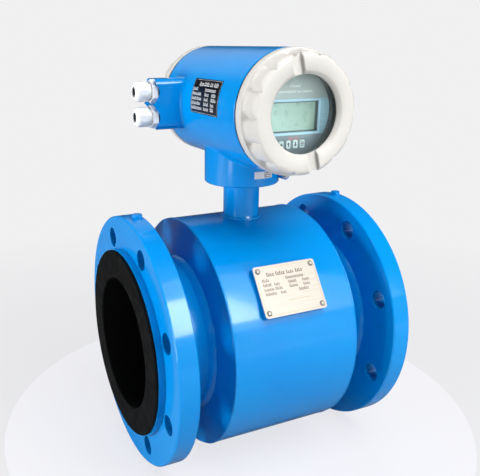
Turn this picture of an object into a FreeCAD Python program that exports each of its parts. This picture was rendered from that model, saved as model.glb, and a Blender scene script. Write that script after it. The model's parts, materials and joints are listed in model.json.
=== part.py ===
import FreeCAD, Part
import math
import os

# Flanged electromagnetic flow meter: a rubber-lined pipe between two drilled flanges, a welded
# coil housing round it, and a cast converter head on a neck.
#
# Frame: origin on the pipe axis at half its length, +X along the flow, +Z up.
# The display faces -Y. All lengths are millimetres and all angles degrees.
# Pieces are drawn about a local +Z axis and then laid along the axis that they serve.

V = FreeCAD.Vector

# ---------------------------------------------------------------- driving dimensions

# Pipe, lining and flanges
LAY_LENGTH = 300.0
PIPE_D = 168.0
PIPE_WALL = 4.5
LINING_WALL = 5.0
LIP_THICKNESS = 3.0
LIP_MARGIN = 1.0
LIP_CHAMFER = 1.0
FLANGE_D = 285.0
FLANGE_THICKNESS = 22.0
FACE_HEIGHT = 7.0
FACE_MARGIN = 2.5
BOLT_EDGE = 22.5
BOLT_HOLE_D = 22.0
BOLT_COUNT = 8
FLANGE_CHAMFER = 1.2
WELD_LEG = 7.0

# Coil housing
SHELL_D = 266.0
SHELL_LENGTH = 150.0
SHELL_WALL = 3.0
END_PLATE_THICKNESS = 4.0
END_PLATE_CHAMFER = 2.0

# Field coils, poles and yoke
SHOE_THICKNESS = 4.0
SHOE_LENGTH = 84.0
SHOE_HALF_ANGLE = 36.0
CORE_D = 28.0
COIL_D = 80.0
COIL_BORE_CLEARANCE = 0.5
COIL_SEAT_CLEARANCE = 0.4
YOKE_THICKNESS = 4.0
YOKE_WIDTH = 60.0
YOKE_GAP = 9.0

# Electrodes, one each side of the bore
ELECTRODE_HOLE_D = 12.0
ELECTRODE_HEAD_THICKNESS = 2.0
ELECTRODE_RECESS = 0.3
ELECTRODE_STEM_D = 5.0
ELECTRODE_STICKOUT = 5.0
BUSH_FLANGE_D = 20.0
BUSH_FLANGE_THICKNESS = 4.0
ELECTRODE_NUT_AF = 10.0
ELECTRODE_NUT_HEIGHT = 4.0

# Neck
NECK_D = 40.6
NECK_WALL = 3.3
NECK_WELD_LEG = 1.6
LOCKNUT_AF = 52.0
LOCKNUT_HEIGHT = 7.0

# Nameplate on the coil housing
PLATE_WIDTH = 74.0
PLATE_HEIGHT = 54.5
PLATE_THICKNESS = 1.0
PLATE_ANGLE = 54.0
PLATE_OFFSET = -1.5
PLATE_CORNER = 3.0
BRACKET_STANDOFF = 4.0
RIVET_D = 4.6
RIVET_CROWN_D = 2.8
RIVET_SHANK_D = 2.3
RIVET_HEAD_HEIGHT = 1.2
RIVET_INSET = 5.0
RIVET_GRIP = 3.0

# Ground bolts on the flange rims; the bevel is that of all hexagons with turned corners
HEXAGON_BEVEL = 0.9
GROUND_BOLT_D = 6.0
GROUND_BOLT_AF = 10.0
GROUND_BOLT_HEAD = 4.0
GROUND_BOLT_LENGTH = 12.0
GROUND_BOLT_OFFSET = 3.0
GROUND_WASHER_D = 12.5
GROUND_WASHER_THICKNESS = 1.2
SPOTFACE_DEPTH = 0.8
SPOTFACE_MARGIN = 0.8

# Head casting
HEAD_AXIS_Z = 255.3
BARREL_D = 119.0
BARREL_FRONT = 90.2
BARREL_REAR = 78.2
BARREL_CHAMFER = 0.8
SPIGOT_D = 111.0
SPIGOT_LENGTH = 11.0
CAVITY_D = 100.0
DIVIDER_FRONT_Y = 7.0
DIVIDER_THICKNESS = 5.0
DIVIDER_LIFT = 6.0
WIRE_HOLE_D = 12.0
WIRE_HOLE_DROP = 30.0
BASE_D = 83.6
BASE_BOTTOM_Z = 172.0
BASE_FLOOR = 8.0
BASE_WALL = 8.8
BASE_CHAMFER = 1.2
BASE_FILLET = 4.0
POST_D = 9.0
POST_CIRCLE_D = 92.0
POST_COUNT = 4
FRONT_POST_LENGTH = 57.0
REAR_POST_LENGTH = 13.0

# Gland boss on the side of the barrel
GLAND_Y = 46.5
GLAND_PITCH = 26.6
BOSS_END_X = 92.0
BOSS_WIDTH = 27.0
BOSS_CORNER = 6.0
BOSS_FILLET = 3.0
DISH_DEPTH = 9.0
DISH_FLOOR_D = 26.0
DISH_MOUTH_D = 38.0

# Ground lug on the base
LUG_D = 11.0
LUG_X = 35.5
LUG_Z = 181.8
LUG_FRONT = 36.0
LUG_LENGTH = 20.0
LUG_SCREW_D = 4.0
LUG_SCREW_LENGTH = 10.0
LUG_SCREW_HEAD_D = 6.2
LUG_SCREW_HEAD_HEIGHT = 2.2
LUG_SCREW_SLOT_WIDTH = 1.0
LUG_SCREW_SLOT_DEPTH = 0.6
LUG_WASHER_D = 8.6
LUG_WASHER_THICKNESS = 0.8

# Screwed covers
COVER_RIM_D = 119.0
COVER_RIM_WIDTH = 10.5
COVER_RIM_CHAMFER = 0.8
COVER_LOBE_D = 115.5
COVER_LOBE_COUNT = 14
COVER_VALLEY_D = 105.0
COVER_TAPER = 1.2
COVER_ANGLE = 104.0
COVER_EDGE_ROUND = 5.5
COVER_SEAT_GAP = 3.0
THREAD_CLEARANCE = 0.3
FRONT_COVER_DEPTH = 29.0
REAR_COVER_DEPTH = 26.0
REAR_COVER_WALL = 7.0
SLOT_WIDTH = 11.5
SLOT_DEPTH = 4.0
REAR_SLOT_LENGTH = 22.0
O_RING_SECTION = 2.2
O_RING_CLEARANCE = 0.4

# Window in the front cover
WINDOW_D = 72.8
WINDOW_BEVEL = 3.2
LIP_DEPTH = 1.5
GLASS_D = 92.0
GLASS_THICKNESS = 6.0
GASKET_THICKNESS = 1.0
GASKET_BORE_D = 73.8
RETAINER_D = 80.0
RETAINER_THICKNESS = 2.4
RETAINER_KEY_WIDTH = 6.0

# Electronics behind the window
BOARD_THICKNESS = 1.6
BOARD_CLEARANCE = 1.0
POWER_BOARD_SPACER = 29.8
SPACER_AF = 5.5
PANEL_SPACER = 11.0
PANEL_THICKNESS = 2.0
PANEL_CLEARANCE = 1.0
BEZEL_BORE_D = 84.0
BEZEL_HEIGHT = 5.5
BEZEL_SCREW_D = 2.5
BEZEL_SCREW_HEAD_D = 4.6
BEZEL_SCREW_HEAD_HEIGHT = 1.8
BEZEL_SCREW_SINK = 0.5
BEZEL_SCREW_POCKET_D = 5.0
PANEL_SCREW_GRIP = 6.6
LCD_CENTRE_DROP = 4.0
LCD_WINDOW_WIDTH = 58.0
LCD_WINDOW_HEIGHT = 28.6
LCD_WIDTH = 64.0
LCD_HEIGHT = 34.0
LCD_RECESS = 2.0
TRANSFORMER_WIDTH = 32.0
TRANSFORMER_DEPTH = 26.0
TRANSFORMER_HEIGHT = 24.0
WINDING_WIDTH = 19.2
WINDING_DEPTH = 18.2
WINDING_HEIGHT = 33.6

# Keys under the display
KEY_COUNT = 4
KEY_PITCH = 8.0
KEY_WIDTH = 5.0
KEY_HEIGHT = 7.6
KEY_DROP = 29.6
KEY_PROUD = 1.2
KEY_CORNER = 0.8
KEY_TRAVEL = 0.6
KEY_STOP_CLEARANCE = 0.1
KEY_STEM_SIZE = 4.0
KEY_CLEARANCE = 0.25
KEY_FLANGE = 0.9
KEY_FLANGE_THICKNESS = 1.0
SWITCH_SIZE = 6.0
SWITCH_HEIGHT = 4.0

# Terminals in the rear compartment
TERMINAL_COUNT = 8
TERMINAL_PITCH = 7.6
TERMINAL_DEPTH = 16.0
TERMINAL_HEIGHT = 14.0
TERMINAL_END = 1.0
WIRE_MOUTH_WIDTH = 4.6
WIRE_MOUTH_DEPTH = 6.4
WIRE_MOUTH_HEIGHT = 5.6
WIRE_MOUTH_LIFT = 6.3
TERMINAL_SCREW_D = 4.4
TERMINAL_SCREW_HEIGHT = 1.4

# Cable glands
GLAND_THREAD_D = 18.6
GLAND_THREAD_LENGTH = 10.0
GLAND_AF = 22.0
GLAND_HEX_WIDTH = 6.5
GLAND_WASHER_D = 23.0
GLAND_WASHER_THICKNESS = 1.2
GLAND_CAP_GAP = 3.0
GLAND_CAP_D = 21.4
GLAND_CAP_LENGTH = 15.0
GLAND_CAP_TIP_D = 12.0
GLAND_CAP_MOUTH_D = 10.8
GLAND_CAP_DOME = 5.5
GLAND_CAP_WALL = 1.6
GLAND_NECK_D = 17.4
GLAND_NECK_LENGTH = 9.0
GLAND_SEAL_D = 13.6
GLAND_SEAL_LENGTH = 11.0
GLAND_PASSAGE_D = 11.0
CABLE_D = 9.6
GLAND_CLEARANCE = 0.35

# Labels
LABEL_THICKNESS = 0.3
RATING_WIDTH = 62.5
RATING_HEIGHT = 35.0
RATING_ANGLE = 78.6
RATING_Y = -25.2
STICKER_WIDTH = 23.0
STICKER_HEIGHT = 7.6
STICKER_ANGLE = 6.0
STICKER_Z = 185.2

# ---------------------------------------------------------------- derived places

half_length = LAY_LENGTH / 2
face_x = half_length - LIP_THICKNESS
flange_outer_x = face_x - FACE_HEIGHT
flange_inner_x = flange_outer_x - FLANGE_THICKNESS
flange_mid_x = (flange_outer_x + flange_inner_x) / 2
bolt_circle_r = FLANGE_D / 2 - BOLT_EDGE
raised_face_r = bolt_circle_r - BOLT_HOLE_D / 2 - FACE_MARGIN
lip_r = raised_face_r - LIP_MARGIN
pipe_r = PIPE_D / 2
lining_r = pipe_r - PIPE_WALL
bore_r = lining_r - LINING_WALL
shell_r = SHELL_D / 2
shell_half = SHELL_LENGTH / 2
shoe_r = pipe_r + SHOE_THICKNESS
yoke_r = shell_r - SHELL_WALL - YOKE_GAP
yoke_bore_r = yoke_r - YOKE_THICKNESS
bracket_top = shell_r + BRACKET_STANDOFF

neck_r = NECK_D / 2
neck_bore_r = neck_r - NECK_WALL
base_floor_z = BASE_BOTTOM_Z + BASE_FLOOR
neck_top_z = base_floor_z + LOCKNUT_HEIGHT
divider_bottom_z = neck_top_z + DIVIDER_LIFT

barrel_r = BARREL_D / 2
spigot_r = SPIGOT_D / 2
cavity_r = CAVITY_D / 2
divider_rear_y = DIVIDER_FRONT_Y + DIVIDER_THICKNESS
front_mouth_y = -(BARREL_FRONT + SPIGOT_LENGTH)
rear_mouth_y = BARREL_REAR + SPIGOT_LENGTH

# The stack of boards, from the casting's posts towards the window
power_board_y = DIVIDER_FRONT_Y - FRONT_POST_LENGTH
display_board_y = power_board_y - BOARD_THICKNESS - POWER_BOARD_SPACER
panel_back_y = display_board_y - BOARD_THICKNESS - PANEL_SPACER
panel_face_y = panel_back_y - PANEL_THICKNESS
lcd_face_y = panel_back_y + LCD_RECESS
switch_top_y = display_board_y - BOARD_THICKNESS - SWITCH_HEIGHT
bezel_screw_seat = BEZEL_HEIGHT - BEZEL_SCREW_HEAD_HEIGHT - BEZEL_SCREW_SINK

# The terminals behind the divider
terminal_board_y = divider_rear_y + REAR_POST_LENGTH
terminal_block_y = terminal_board_y + BOARD_THICKNESS

# The front cover, from its rear edge to its face
front_cover_y = -(BARREL_FRONT + COVER_SEAT_GAP)
rear_cover_y = BARREL_REAR + COVER_SEAT_GAP
thread_r = spigot_r + THREAD_CLEARANCE
thread_depth = SPIGOT_LENGTH - COVER_SEAT_GAP + O_RING_CLEARANCE
bevel_floor = FRONT_COVER_DEPTH - WINDOW_BEVEL
glass_seat = bevel_floor - LIP_DEPTH

# Glands, outwards from the boss
gland_seat_x = BOSS_END_X - DISH_DEPTH
gland_hex_x = gland_seat_x + GLAND_WASHER_THICKNESS
gland_neck_x = gland_hex_x + GLAND_HEX_WIDTH
gland_cap_x = gland_neck_x + GLAND_CAP_GAP
gland_tip_x = gland_cap_x + GLAND_CAP_LENGTH
gland_seal_end = gland_tip_x - GLAND_CAP_WALL
gland_seal_x = gland_seal_end - GLAND_SEAL_LENGTH
gland_zs = (HEAD_AXIS_Z + GLAND_PITCH / 2, HEAD_AXIS_Z - GLAND_PITCH / 2)

ORIGIN = V(0, 0, 0)
X_AXIS = V(1, 0, 0)
Y_AXIS = V(0, 1, 0)
Z_AXIS = V(0, 0, 1)


# ---------------------------------------------------------------- drawing helpers

def turned(profile):
    """Solid of revolution about local Z from a closed outline of (radius, height) points."""
    points = [V(radius, 0, height) for radius, height in profile]
    face = Part.Face(Part.makePolygon(points + points[:1]))
    return face.revolve(ORIGIN, Z_AXIS, 360)


def disc(diameter, height, start=0.0):
    return Part.makeCylinder(diameter / 2, height, V(0, 0, start))


def ring(outer_d, inner_d, height, start=0.0):
    return disc(outer_d, height, start).cut(disc(inner_d, height, start))


def hexagon(across_flats, height, start=0.0):
    """Hexagonal prism with two flats facing local +Y and -Y."""
    corner = across_flats / math.sqrt(3)
    points = [V(corner * math.cos(math.radians(60 * k)), corner * math.sin(math.radians(60 * k)), start)
              for k in range(6)]
    return Part.Face(Part.makePolygon(points + points[:1])).extrude(V(0, 0, height))


def bevelled_hexagon(across_flats, height, start):
    """Hexagonal prism whose outer corners are turned away to a bevel."""
    corner = across_flats / math.sqrt(3)
    top = start + height
    crown = turned([(0, start), (corner, start), (corner, top - HEXAGON_BEVEL), (across_flats / 2, top),
                    (0, top)])
    return hexagon(across_flats, height, start).common(crown)


def block(x_size, y_size, z_size, centre):
    corner = centre - V(x_size, y_size, z_size) * 0.5
    return Part.makeBox(x_size, y_size, z_size, corner)


def cut_in_turn(shape, tools):
    """The shape less each tool, one after another, for tools that overlap."""
    for tool in tools:
        shape = shape.cut(tool)
    return shape


def rounded_edges(shape, radius, wanted):
    """Fillet the edges for which wanted(edge) is true."""
    return shape.makeFillet(radius, [edge for edge in shape.Edges if wanted(edge)])


def runs_along(edge, axis):
    if not isinstance(edge.Curve, Part.Line):
        return False
    return abs(abs(edge.tangentAt(edge.FirstParameter).dot(axis)) - 1) < 1e-6


def round_the_axis(shape, count, start=0.0):
    """Copies of a shape at even steps about local Z."""
    return [shape.rotated(ORIGIN, Z_AXIS, start + 360 * k / count) for k in range(count)]


def downstream(shape, x=0.0):
    """Lay local +Z along +X, with local zero at x."""
    return shape.rotated(ORIGIN, Y_AXIS, 90).translated(V(x, 0, 0))


def upstream(shape, x=0.0):
    """Lay local +Z along -X, with local zero at -x."""
    return downstream(shape, x).rotated(ORIGIN, Z_AXIS, 180)


def forward(shape, y, z=HEAD_AXIS_Z):
    """Lay local +Z along -Y and local +Y along +Z, with local zero at (0, y, z)."""
    return shape.rotated(ORIGIN, X_AXIS, 90).translated(V(0, y, z))


def backward(shape, y, z=HEAD_AXIS_Z):
    """Lay local +Z along +Y and local +Y along +Z, with local zero at (0, y, z)."""
    return shape.rotated(ORIGIN, X_AXIS, 90).rotated(ORIGIN, Z_AXIS, 180).translated(V(0, y, z))


def both_sides(make):
    """One copy of a Y-pointing piece on each side of the pipe."""
    piece = make()
    return Part.makeCompound([piece, piece.rotated(ORIGIN, Z_AXIS, 180)])


# ---------------------------------------------------------------- pipe, lining and flanges

def electrode_hole():
    """The hole right through pipe and lining that takes both electrodes."""
    return Part.makeCylinder(ELECTRODE_HOLE_D / 2, PIPE_D * 2, V(0, -PIPE_D, 0), Y_AXIS)


def flow_tube():
    tube = ring(PIPE_D, lining_r * 2, face_x * 2, -face_x)
    return downstream(tube).cut(electrode_hole())


def rubber_lining():
    edge = LIP_CHAMFER
    outlet_half = [(lining_r, face_x), (lip_r, face_x), (lip_r, half_length - edge),
                   (lip_r - edge, half_length), (bore_r + edge, half_length), (bore_r, half_length - edge)]
    inlet_half = [(radius, -x) for radius, x in reversed(outlet_half)]
    return downstream(turned(outlet_half + inlet_half)).cut(electrode_hole())


def ground_bolt_seat_z():
    return FLANGE_D / 2 - SPOTFACE_DEPTH


def flange(bolt_offset):
    """Outlet flange: raised face outwards, weld fillet inwards, ground bolt hole on top."""
    flange_r = FLANGE_D / 2
    weld_x = flange_inner_x - WELD_LEG
    profile = [(pipe_r, weld_x), (pipe_r, face_x), (raised_face_r, face_x), (raised_face_r, flange_outer_x),
               (flange_r - FLANGE_CHAMFER, flange_outer_x), (flange_r, flange_outer_x - FLANGE_CHAMFER),
               (flange_r, flange_inner_x + FLANGE_CHAMFER), (flange_r - FLANGE_CHAMFER, flange_inner_x),
               (pipe_r + WELD_LEG, flange_inner_x)]
    body = turned(profile)
    hole = disc(BOLT_HOLE_D, FLANGE_THICKNESS * 2, flange_inner_x - FLANGE_THICKNESS / 2)
    hole = hole.translated(V(bolt_circle_r, 0, 0))
    body = body.cut(round_the_axis(hole, BOLT_COUNT, 180 / BOLT_COUNT))
    body = downstream(body)
    seat_z = ground_bolt_seat_z()
    spotface = disc(GROUND_WASHER_D + 2 * SPOTFACE_MARGIN, SPOTFACE_DEPTH * 2, seat_z)
    tapping = disc(GROUND_BOLT_D, GROUND_BOLT_LENGTH + SPOTFACE_DEPTH, seat_z - GROUND_BOLT_LENGTH)
    return body.cut(spotface.fuse(tapping).translated(V(flange_mid_x + bolt_offset, 0, 0)))


def ground_bolt(bolt_offset):
    """Hexagon bolt and its washer on top of the outlet flange's rim."""
    seat_z = ground_bolt_seat_z()
    washer = ring(GROUND_WASHER_D, GROUND_BOLT_D, GROUND_WASHER_THICKNESS, seat_z)
    head_z = seat_z + GROUND_WASHER_THICKNESS
    head = bevelled_hexagon(GROUND_BOLT_AF, GROUND_BOLT_HEAD, head_z)
    shank_length = GROUND_BOLT_LENGTH + GROUND_WASHER_THICKNESS
    shank = disc(GROUND_BOLT_D, shank_length, head_z - shank_length)
    bolt = head.fuse(shank).removeSplitter()
    return Part.makeCompound([bolt, washer]).translated(V(flange_mid_x + bolt_offset, 0, 0))


# ---------------------------------------------------------------- coil housing and what it holds

def coil_shell():
    length = SHELL_LENGTH - 2 * END_PLATE_THICKNESS
    tube = ring(SHELL_D, SHELL_D - 2 * SHELL_WALL, length, -length / 2)
    neck_hole = disc(neck_bore_r * 2, shell_r * 2)
    return downstream(tube).cut(neck_hole)


def end_plate():
    """Outlet end plate, its outer edge bevelled at the shell and a weld fillet round the pipe."""
    inner_x = shell_half - END_PLATE_THICKNESS
    profile = [(pipe_r, inner_x), (shell_r, inner_x), (shell_r, shell_half - END_PLATE_CHAMFER),
               (shell_r - END_PLATE_CHAMFER, shell_half), (pipe_r + WELD_LEG, shell_half),
               (pipe_r, shell_half + WELD_LEG)]
    return downstream(turned(profile))


def pole():
    """Upper pole: a saddle shoe on the pipe and a round core up to the yoke."""
    reach = yoke_bore_r * 2
    saddle = ring(shoe_r * 2, PIPE_D, SHOE_LENGTH, -SHOE_LENGTH / 2)
    side = reach * math.tan(math.radians(SHOE_HALF_ANGLE))
    wedge = Part.Face(Part.makePolygon([ORIGIN, V(-reach, side, 0), V(-reach, -side, 0), ORIGIN]))
    wedge = wedge.extrude(V(0, 0, SHOE_LENGTH)).translated(V(0, 0, -SHOE_LENGTH / 2))
    shoe = downstream(saddle.common(wedge))
    core = disc(CORE_D, yoke_bore_r, 0)
    core = core.cut(downstream(disc(PIPE_D + SHOE_THICKNESS, CORE_D * 2, -CORE_D)))
    core = core.common(downstream(disc(yoke_bore_r * 2, CORE_D * 2, -CORE_D)))
    return shoe.fuse(core).removeSplitter()


def coil():
    """Upper coil, wound round the core between shoe and yoke."""
    bottom = shoe_r + COIL_SEAT_CLEARANCE
    top = math.sqrt(yoke_bore_r ** 2 - (COIL_D / 2) ** 2) - COIL_SEAT_CLEARANCE
    bobbin_bore = CORE_D + 2 * COIL_BORE_CLEARANCE
    return ring(COIL_D, bobbin_bore, top - bottom, bottom)


def flux_yoke():
    return downstream(ring(yoke_r * 2, yoke_bore_r * 2, YOKE_WIDTH, -YOKE_WIDTH / 2))


def below(shape):
    """The same piece on the underside of the pipe."""
    return shape.rotated(ORIGIN, X_AXIS, 180)


def electrode():
    """Front electrode: a flush head in the lining and a stem out through its bush."""
    inner = bore_r + ELECTRODE_RECESS
    outer = pipe_r + BUSH_FLANGE_THICKNESS + ELECTRODE_NUT_HEIGHT + ELECTRODE_STICKOUT
    head = disc(ELECTRODE_HOLE_D, ELECTRODE_HEAD_THICKNESS, inner)
    stem = disc(ELECTRODE_STEM_D, outer - inner, inner)
    return forward(head.fuse(stem).removeSplitter(), 0, 0)


def electrode_bush():
    inner = bore_r + ELECTRODE_RECESS + ELECTRODE_HEAD_THICKNESS
    sleeve = disc(ELECTRODE_HOLE_D, pipe_r - inner, inner)
    collar = disc(BUSH_FLANGE_D, BUSH_FLANGE_THICKNESS, pipe_r)
    body = sleeve.fuse(collar).removeSplitter().cut(disc(ELECTRODE_STEM_D, PIPE_D, inner))
    return forward(body, 0, 0)


def electrode_nut():
    start = pipe_r + BUSH_FLANGE_THICKNESS
    nut = hexagon(ELECTRODE_NUT_AF, ELECTRODE_NUT_HEIGHT, start)
    return forward(nut.cut(disc(ELECTRODE_STEM_D, ELECTRODE_NUT_HEIGHT, start)), 0, 0)


# ---------------------------------------------------------------- neck

def neck_pipe():
    """Pipe from the shell into the head's base, with the weld at its foot."""
    foot_z = shell_r - neck_r
    crest_z = math.sqrt(shell_r ** 2 - (neck_r + NECK_WELD_LEG) ** 2)
    weld = turned([(0, foot_z), (neck_r + NECK_WELD_LEG, foot_z), (neck_r + NECK_WELD_LEG, crest_z),
                   (neck_r, shell_r + NECK_WELD_LEG), (0, shell_r + NECK_WELD_LEG)])
    body = disc(NECK_D, neck_top_z - foot_z, foot_z).fuse(weld).removeSplitter()
    body = body.cut(downstream(disc(SHELL_D, SHELL_LENGTH, -shell_half)))
    return body.cut(disc(neck_bore_r * 2, neck_top_z * 2))


def neck_locknut():
    nut = hexagon(LOCKNUT_AF, LOCKNUT_HEIGHT, base_floor_z)
    return nut.cut(disc(NECK_D, LOCKNUT_HEIGHT, base_floor_z))


# ---------------------------------------------------------------- nameplate

def on_the_shell(shape):
    """Lay a piece drawn over the top of the shell round to where the nameplate sits."""
    return shape.rotated(ORIGIN, X_AXIS, PLATE_ANGLE).translated(V(PLATE_OFFSET, 0, 0))


def plate_blank(thickness, start):
    body = block(PLATE_WIDTH, PLATE_HEIGHT, thickness, V(0, 0, start + thickness / 2))
    return rounded_edges(body, PLATE_CORNER, lambda e: runs_along(e, Z_AXIS))


def rivet_places():
    x = PLATE_WIDTH / 2 - RIVET_INSET
    y = PLATE_HEIGHT / 2 - RIVET_INSET
    return [V(x, y, 0), V(-x, y, 0), V(-x, -y, 0), V(x, -y, 0)]


def rivet_holes(start, depth):
    return [disc(RIVET_SHANK_D, depth, start).translated(place) for place in rivet_places()]


def nameplate_bracket():
    """Pad welded to the shell: flat on top, curved to the shell below."""
    corner_z = math.sqrt(shell_r ** 2 - (PLATE_HEIGHT / 2) ** 2)
    body = plate_blank(bracket_top - corner_z + 1, corner_z - 1)
    body = body.cut(downstream(disc(SHELL_D, SHELL_LENGTH, -shell_half)))
    body = body.cut(rivet_holes(bracket_top - RIVET_GRIP, RIVET_GRIP * 2))
    return on_the_shell(body)


def nameplate():
    body = plate_blank(PLATE_THICKNESS, bracket_top)
    return on_the_shell(body.cut(rivet_holes(bracket_top, PLATE_THICKNESS)))


def nameplate_rivets():
    top = bracket_top + PLATE_THICKNESS
    rivet = turned([(0, bracket_top - RIVET_GRIP), (RIVET_SHANK_D / 2, bracket_top - RIVET_GRIP),
                    (RIVET_SHANK_D / 2, top), (RIVET_D / 2, top),
                    (RIVET_CROWN_D / 2, top + RIVET_HEAD_HEIGHT), (0, top + RIVET_HEAD_HEIGHT)])
    return on_the_shell(Part.makeCompound([rivet.translated(place) for place in rivet_places()]))


# ---------------------------------------------------------------- head casting

def post_places():
    radius = POST_CIRCLE_D / 2
    step = 360 / POST_COUNT
    angles = [math.radians(step * (k + 0.5)) for k in range(POST_COUNT)]
    return [V(radius * math.cos(a), radius * math.sin(a), 0) for a in angles]


def at_posts(shape):
    return [shape.translated(place) for place in post_places()]


def gland_boss():
    """Rounded block out of the side of the barrel, dished round each gland seat."""
    height = GLAND_PITCH + BOSS_WIDTH
    length = BOSS_END_X - cavity_r
    body = block(length, BOSS_WIDTH, height, V(-(BOSS_END_X - length / 2), GLAND_Y, HEAD_AXIS_Z))
    body = rounded_edges(body, BOSS_CORNER, lambda e: runs_along(e, X_AXIS))
    dish = turned([(0, 0), (DISH_FLOOR_D / 2, 0), (DISH_MOUTH_D / 2, DISH_DEPTH), (0, DISH_DEPTH)])
    dish = upstream(dish, gland_seat_x)
    return cut_in_turn(body, [dish.translated(V(0, GLAND_Y, z)) for z in gland_zs])


def ground_lug():
    return Part.makeCylinder(LUG_D / 2, LUG_LENGTH, V(LUG_X, -LUG_FRONT, LUG_Z), Y_AXIS)


def cast_on(barrel, piece, fillet):
    """Fuse a piece to the barrel and fillet the edges where it grows out of the barrel's side."""
    casting = barrel.fuse(piece)
    room = piece.BoundBox
    room.enlarge(1.0)

    def at_root(edge):
        offsets = [math.hypot(p.x, p.z - HEAD_AXIS_Z) - barrel_r for p in edge.discretize(5)]
        return room.isInside(edge.BoundBox) and max(abs(offset) for offset in offsets) < 0.01

    return rounded_edges(casting, fillet, at_root)


def head_outside():
    edge = BARREL_CHAMFER
    barrel = turned([(0, -rear_mouth_y), (spigot_r, -rear_mouth_y), (spigot_r, -BARREL_REAR),
                     (barrel_r - edge, -BARREL_REAR), (barrel_r, edge - BARREL_REAR),
                     (barrel_r, BARREL_FRONT - edge), (barrel_r - edge, BARREL_FRONT),
                     (spigot_r, BARREL_FRONT), (spigot_r, -front_mouth_y), (0, -front_mouth_y)])
    base_r = BASE_D / 2
    base = turned([(0, BASE_BOTTOM_Z), (base_r - BASE_CHAMFER, BASE_BOTTOM_Z),
                   (base_r, BASE_BOTTOM_Z + BASE_CHAMFER), (base_r, HEAD_AXIS_Z), (0, HEAD_AXIS_Z)])
    casting = cast_on(forward(barrel, 0), base, BASE_FILLET)
    return cast_on(casting, gland_boss(), BOSS_FILLET).fuse(ground_lug())


def head_cavities():
    front = forward(disc(CAVITY_D, DIVIDER_FRONT_Y - front_mouth_y, -DIVIDER_FRONT_Y), 0)
    front = front.cut([forward(disc(POST_D, FRONT_POST_LENGTH).translated(place), DIVIDER_FRONT_Y)
                       for place in post_places()])
    rear = backward(disc(CAVITY_D, rear_mouth_y - divider_rear_y), divider_rear_y)
    rear = rear.cut([backward(disc(POST_D, REAR_POST_LENGTH).translated(place), divider_rear_y)
                     for place in post_places()])
    base = disc(BASE_D - 2 * BASE_WALL, HEAD_AXIS_Z - base_floor_z, base_floor_z)
    divider = block(BASE_D, DIVIDER_THICKNESS, HEAD_AXIS_Z - divider_bottom_z,
                    V(0, DIVIDER_FRONT_Y + DIVIDER_THICKNESS / 2, (HEAD_AXIS_Z + divider_bottom_z) / 2))
    return [front, rear, base.cut(divider)]


def head_holes():
    neck = disc(NECK_D, BASE_FLOOR, BASE_BOTTOM_Z)
    wires = disc(WIRE_HOLE_D, DIVIDER_THICKNESS).translated(V(0, -WIRE_HOLE_DROP, 0))
    wires = backward(wires, DIVIDER_FRONT_Y)
    tapping = Part.makeCylinder(LUG_SCREW_D / 2, LUG_SCREW_LENGTH, V(LUG_X, -LUG_FRONT, LUG_Z), Y_AXIS)
    cables = [Part.makeCylinder(GLAND_THREAD_D / 2, gland_seat_x, V(-gland_seat_x, GLAND_Y, z), X_AXIS)
              for z in gland_zs]
    return [neck, wires, tapping] + cables


def head_housing():
    return cut_in_turn(head_outside(), head_cavities() + head_holes()).removeSplitter()


def ground_screw():
    head = disc(LUG_SCREW_HEAD_D, LUG_SCREW_HEAD_HEIGHT, LUG_WASHER_THICKNESS)
    slot = block(LUG_SCREW_HEAD_D, LUG_SCREW_SLOT_WIDTH, LUG_SCREW_SLOT_DEPTH * 2,
                 V(0, 0, LUG_WASHER_THICKNESS + LUG_SCREW_HEAD_HEIGHT))
    shank = disc(LUG_SCREW_D, LUG_SCREW_LENGTH + LUG_WASHER_THICKNESS, -LUG_SCREW_LENGTH)
    screw = head.cut(slot).fuse(shank).removeSplitter()
    return forward(screw, -LUG_FRONT, LUG_Z).translated(V(LUG_X, 0, 0))


def ground_washer():
    washer = ring(LUG_WASHER_D, LUG_SCREW_D, LUG_WASHER_THICKNESS)
    return forward(washer, -LUG_FRONT, LUG_Z).translated(V(LUG_X, 0, 0))


# ---------------------------------------------------------------- screwed covers

def cover_grip(depth):
    """Scalloped prism for the hand: one arc a lobe, from valley over crest to the next valley."""
    step = 360 / COVER_LOBE_COUNT

    def corner(diameter, angle):
        turn = math.radians(angle)
        return V(diameter / 2 * math.cos(turn), diameter / 2 * math.sin(turn), 0)

    arcs = []
    for k in range(COVER_LOBE_COUNT):
        valley = COVER_ANGLE + k * step
        crest = corner(COVER_LOBE_D, valley + step / 2)
        arcs.append(Part.Arc(corner(COVER_VALLEY_D, valley), crest, corner(COVER_VALLEY_D, valley + step)))
    outline = Part.Wire([arc.toShape() for arc in arcs])
    return Part.Face(outline).extrude(V(0, 0, depth))


def cover_blank(depth):
    """Solid outside of a cover: a round rim, then the grip, tapered and rounded over to the face."""
    rim_r = COVER_RIM_D / 2
    edge = COVER_RIM_CHAMFER
    rim = turned([(0, 0), (rim_r - edge, 0), (rim_r, edge), (rim_r, COVER_RIM_WIDTH - edge),
                  (rim_r - edge, COVER_RIM_WIDTH), (0, COVER_RIM_WIDTH)])
    round_r = COVER_EDGE_ROUND
    side_r = COVER_LOBE_D / 2 - COVER_TAPER
    start = V(side_r, 0, depth - round_r)
    bend = V(side_r - round_r * (1 - math.sqrt(0.5)), 0, depth - round_r * (1 - math.sqrt(0.5)))
    end = V(side_r - round_r, 0, depth)
    outline = Part.Wire([Part.makePolygon([end, V(0, 0, depth), ORIGIN, V(COVER_LOBE_D / 2, 0, 0), start]),
                         Part.Arc(start, bend, end).toShape()])
    envelope = Part.Face(outline).revolve(ORIGIN, Z_AXIS, 360)
    return rim.fuse(cover_grip(depth).common(envelope)).removeSplitter()


def cover_thread_room():
    """The threaded socket that screws over the head's spigot."""
    return disc(thread_r * 2, thread_depth + 1, -1)


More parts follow.
